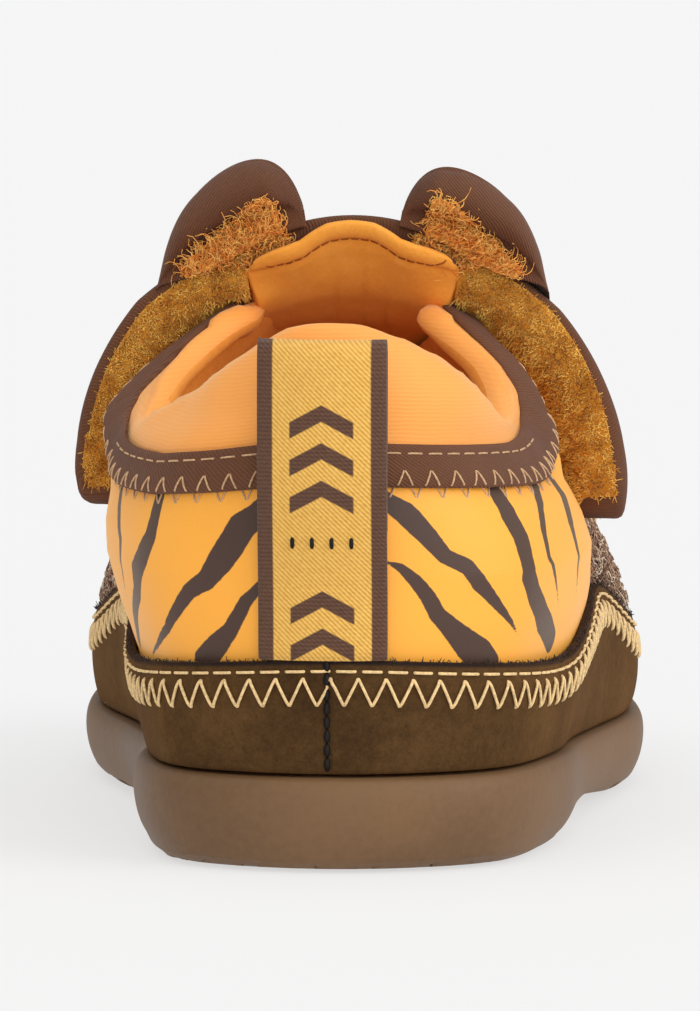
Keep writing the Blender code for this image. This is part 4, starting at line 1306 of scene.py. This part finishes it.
def stretchSkirt(ear):  # the ear's rear face runs down over the strap's cut edge
    look = earLook
    bisected(ear, (0, (look["skirtY"] + 0.05) * mm, 0), (0, 1, 0))
    points = pointsOf(ear)
    angle, radius, along = aroundSpine(points)
    angle = np.abs(angle)
    marks = np.linspace(angle.min(), angle.max(), 24)
    lowest = [radius[np.abs(angle - m) < math.radians(3.2)].min() for m in marks]
    height = radius - np.interp(angle, marks, lowest)
    foot = (height < 0.7) & (along < look["skirtY"])
    foot = foot * (1.0 - easeIn(np.degrees(angle), *look["skirtEnd"]))
    points = pushed(points, -foot * look["skirt"])
    points[:, 1] -= foot * look["skirtBack"] * mm
    setPoints(ear, points)
    return height < 0.9


def makeEar(node, pieceName, side):
    look, which = earLook, int(side > 0)
    ear = copyNode(node, pieceName)
    creaseSharp(ear, 45, 1.0, stretchSkirt(ear))
    subdivided(ear, 3)
    points, normals = pointsOf(ear), normalsOf(ear)
    angle, radius, along = aroundSpine(points)
    turn = np.degrees(angle) * side
    share = (radius - radius.min() - look["skirt"]) / np.interp(turn, *look["puffHeight"])  # up the rear face
    puff = look["puff"] * np.sqrt(np.clip(1.0 - ((share - look["puffAt"]) / look["puffWide"]) ** 2, 0.0, 1.0))
    puff *= np.clip(-2.0 * normals[:, 1], 0.0, 1.0)
    points[:, 1] -= puff * easeIn(turn, *look["puffFrom"]) * (1.0 - easeIn(turn, *look["puffTo"])) * mm
    over = np.maximum(radius - np.interp(np.degrees(angle), *strapLook["crown"]), 0.0)
    tail = np.sqrt(1.0 - np.clip((turn - look["tailFrom"]) / look["tail"], 0.0, 1.0) ** 2)
    points = pushed(points, -over * (1.0 - tail * look["size"][which]))  # its outer end runs out on the strap
    flank = bell(turn, look["flankAt"], look["flankWide"]) * np.clip(over / look["flankRise"], 0.0, 1.0)
    points = flared(pushed(points, flank * look["flank"][which]), look["flare"][which])
    setPoints(ear, points)
    lay(ear, angle * look["layRadius"] * side, radius, along)
    centres, normals, _ = facesOf(ear)
    faceAngle, faceRadius, _ = aroundSpine(centres)
    turn = np.degrees(faceAngle) * side
    height = faceRadius - faceRadius.min() - look["skirt"]  # over the strap
    patch = (normals[:, 1] < -0.2) & (centres[:, 1] < look["patchY"] * mm)
    patch &= (turn > look["patchFrom"][which]) & (turn < look["patchTo"])
    patch &= height < np.interp(turn, *look["patchTop"])
    ribbed = ribbedMaterial("ribbed ear", brownCloth, 0.42, 0.8)
    setMaterials(ear, [ribbed, bpy.data.materials["fluff ground"]], patch)
    keep(ear, node)
    return fluffOf(ear, patch, side)


def fluffOf(ear, patch, side):  # curls on the ear's patch, and on the strap's edge under it
    look = earLook
    draw = np.random.default_rng(look["seed"] + (side > 0))
    earFaces, strapFaces = facesOf(ear), facesOf(strap)
    onStrap = strapFluff & (strapFaces[0][:, 0] * side > 0)
    centres, normals, areas = (np.concatenate(pair) for pair in zip(earFaces, strapFaces))
    angle = aroundSpine(centres)[0]
    chance = areas * np.concatenate([patch, onStrap])
    covers = treeOf(ear, strap)
    paths = []
    for face in draw.choice(len(centres), look["fluffCount"], p=chance / chance.sum()):
        start, normal = Vector(centres[face]), Vector(normals[face])
        radial = Vector((math.sin(angle[face]), 0, math.cos(angle[face])))
        rise = draw.uniform(0.1, 0.75) if face < len(patch) else draw.uniform(-0.3, 0.4)
        aim = normal * 0.55 + radial * rise + Vector(draw.normal(0, 0.3, 3))
        sideways = aim.cross(Vector((0.2, 1, 0.3))).normalized()
        other = aim.normalized().cross(sideways)
        reach = look["fluffLength"] * mm * draw.uniform(0.4, 1.0)
        wide, swing, turns = draw.uniform(0.12, 0.24), draw.uniform(0, 6.28), draw.uniform(4.0, 8.0)
        path = []
        for share in (0.0, 0.2, 0.4, 0.6, 0.8, 1.0):  # small open curls
            spin = turns * share + swing
            bend = sideways * (math.cos(spin) - math.cos(swing)) + other * (math.sin(spin) - math.sin(swing))
            path.append((start + (aim * share + bend * wide) * reach, 1.0 - 0.5 * share))
        if not covers.ray_cast(start + normal * 0.15 * mm, aim, reach)[0]:
            paths.append(path)
    return paths


flap = makeFlap()
strap, strapFluff = makeStrap()
fluffPaths = makeEar("ear_outer", "earOuter", 1) + makeEar("ear_inner", "earInner", -1)
fluffYarn = strandMaterial("fluff yarn", earLook["fluff"])
keep(strands("earFluff", fluffPaths, earLook["fluffRadius"], fluffYarn), None)
print("flap, strap and ears done")
